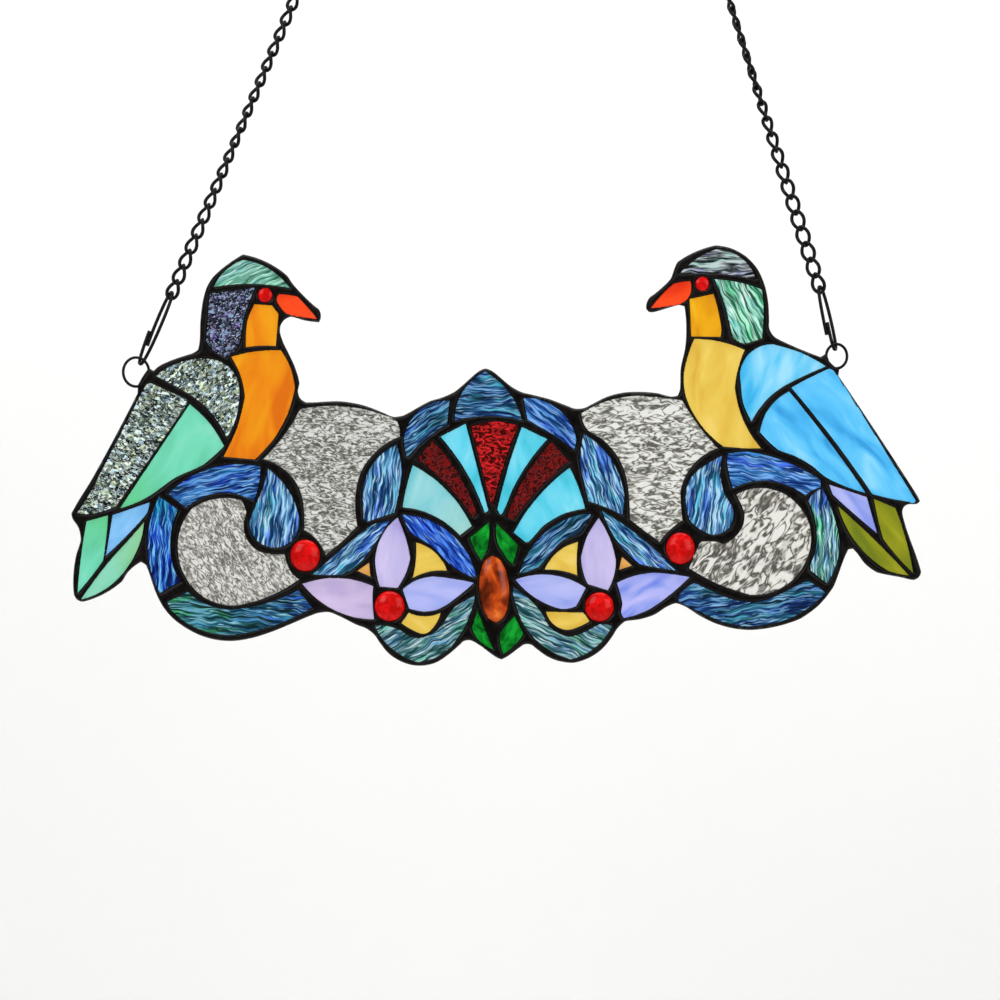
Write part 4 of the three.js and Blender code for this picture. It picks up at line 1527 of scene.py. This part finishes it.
@dataclass
class Studio:
    """A pale floor that sweeps up behind the panel, soft lamps, and the camera straight in front.

    Attributes:
        floor: the floor's height under the hung panel.
        wall: how far the sweep's upright part stands behind the panel.
        distance: how far the camera stands in front.
        view_width: the width of the view at the panel.
    """

    floor: float = -1.5
    wall: float = 1.1
    distance: float = 3.0
    view_width: float = 1000 * CARTOON_UNIT

    def build(self) -> None:
        """Makes the sweep, the lamps, the light of the room and the camera."""
        self._sweep()
        self._lamp("key", (-1.3, -1.9, 0.9), 1.5, 30)
        self._lamp("fill", (1.5, -1.7, 0.2), 1.5, 20)
        self._lamp("top", (0.1, -0.2, 1.3), 1.2, 10)
        self._lamp("wall", (0.0, 0.3, 1.4), 2.4, 31)
        world = bpy.data.worlds.new("room")
        world.use_nodes = True
        light = world.node_tree.nodes["Background"].inputs
        light["Color"].default_value, light["Strength"].default_value = linear("#FFFFFF"), 0.22
        bpy.context.scene.world = world
        bpy.context.scene.view_settings.view_transform = "Standard"
        self._camera()

    def _sweep(self) -> None:
        """The floor and wall in one sheet: its profile is a level line, a quarter circle and an upright one."""
        bend, half_width, rows, front, top = 0.5, 3.0, 48, -4.0, 4.0
        turn = np.linspace(0, np.pi / 2, rows)
        y = np.concatenate([[front], self.wall - bend + bend * np.sin(turn), [self.wall]])
        z = np.concatenate([[0.0], bend - bend * np.cos(turn), [top]]) + self.floor
        left = np.stack([np.full(len(y), -half_width), y, z], axis=1)
        points = np.concatenate([left, left * (-1, 1, 1)])
        row = np.arange(len(y) - 1)
        faces = np.stack([row, row + len(y), row + len(y) + 1, row + 1], axis=1)
        mesh = bpy.data.meshes.new("sweep")
        mesh.from_pydata(points.tolist(), [], faces.tolist())
        mesh.polygons.foreach_set("use_smooth", np.ones(len(faces), dtype=bool))
        mesh.uv_layers.new(name=FLOW_MAP)
        mesh.materials.append(PAPER.material())
        sweep = bpy.data.objects.new("sweep", mesh)
        bpy.context.scene.collection.objects.link(sweep)

    @staticmethod
    def _lamp(name: str, place: tuple[float, float, float], size: float, power: float) -> None:
        """A square soft lamp that faces the panel's middle.

        Args:
            name: its name.
            place: where it hangs, in metres.
            size: the length of its sides, in metres.
            power: its power in watts.
        """
        lamp = bpy.data.lights.new(name, "AREA")
        lamp.size, lamp.energy = size, power
        holder = bpy.data.objects.new(name, lamp)
        holder.location = place
        aim = Vector((0, 0, -0.3)) - Vector(place)
        holder.rotation_euler = aim.to_track_quat("-Z", "Y").to_euler()
        bpy.context.scene.collection.objects.link(holder)

    def _camera(self) -> None:
        """A long lens level with the middle of the view, square to the panel."""
        lens = bpy.data.cameras.new("camera")
        lens.sensor_width = SENSOR_WIDTH
        lens.lens = SENSOR_WIDTH * self.distance / self.view_width
        camera = bpy.data.objects.new("camera", lens)
        across, up = placed(500, 500)
        camera.location = (across, -self.distance, up)
        camera.rotation_euler = (np.pi / 2, 0, 0)
        bpy.context.scene.collection.objects.link(camera)
        bpy.context.scene.camera = camera


def main() -> None:
    """Builds the panel from its glass to its chains, then the studio."""
    logging.basicConfig(level=logging.INFO, format="%(message)s")
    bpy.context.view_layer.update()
    cartoon = Cartoon()
    figures = (LeftBird, RightBird, LeftScroll, RightScroll, Background, Arch, Fan, Centre, LeftFlower, RightFlower)
    for figure in (*figures, SolderWeb):
        figure().build(cartoon)
    Hanger(
        side="left",
        ring_at=(136.1, 372),
        ring_half=(12.9, 14.5),
        hook_from=(139.9, 365.6),
        hook_to=(172.4, 290.9),
        hook_turn=62,
        chain_from=(170.5, 296.9),
        chain_to=(303.2, -22),
        links=21,
        turns=(30, 44, 68, 60, 48),
    ).build()
    Hanger(
        side="right",
        ring_at=(836.6, 356.2),
        ring_half=(10.4, 12.1),
        hook_from=(835.2, 351.2),
        hook_to=(819.4, 285),
        hook_turn=-65,
        chain_from=(820.3, 290.8),
        chain_to=(722, -22),
        links=20,
        turns=(25, -14, -52, -88, -90),
    ).build()
    Studio().build()


if __name__ == "__main__":
    main()
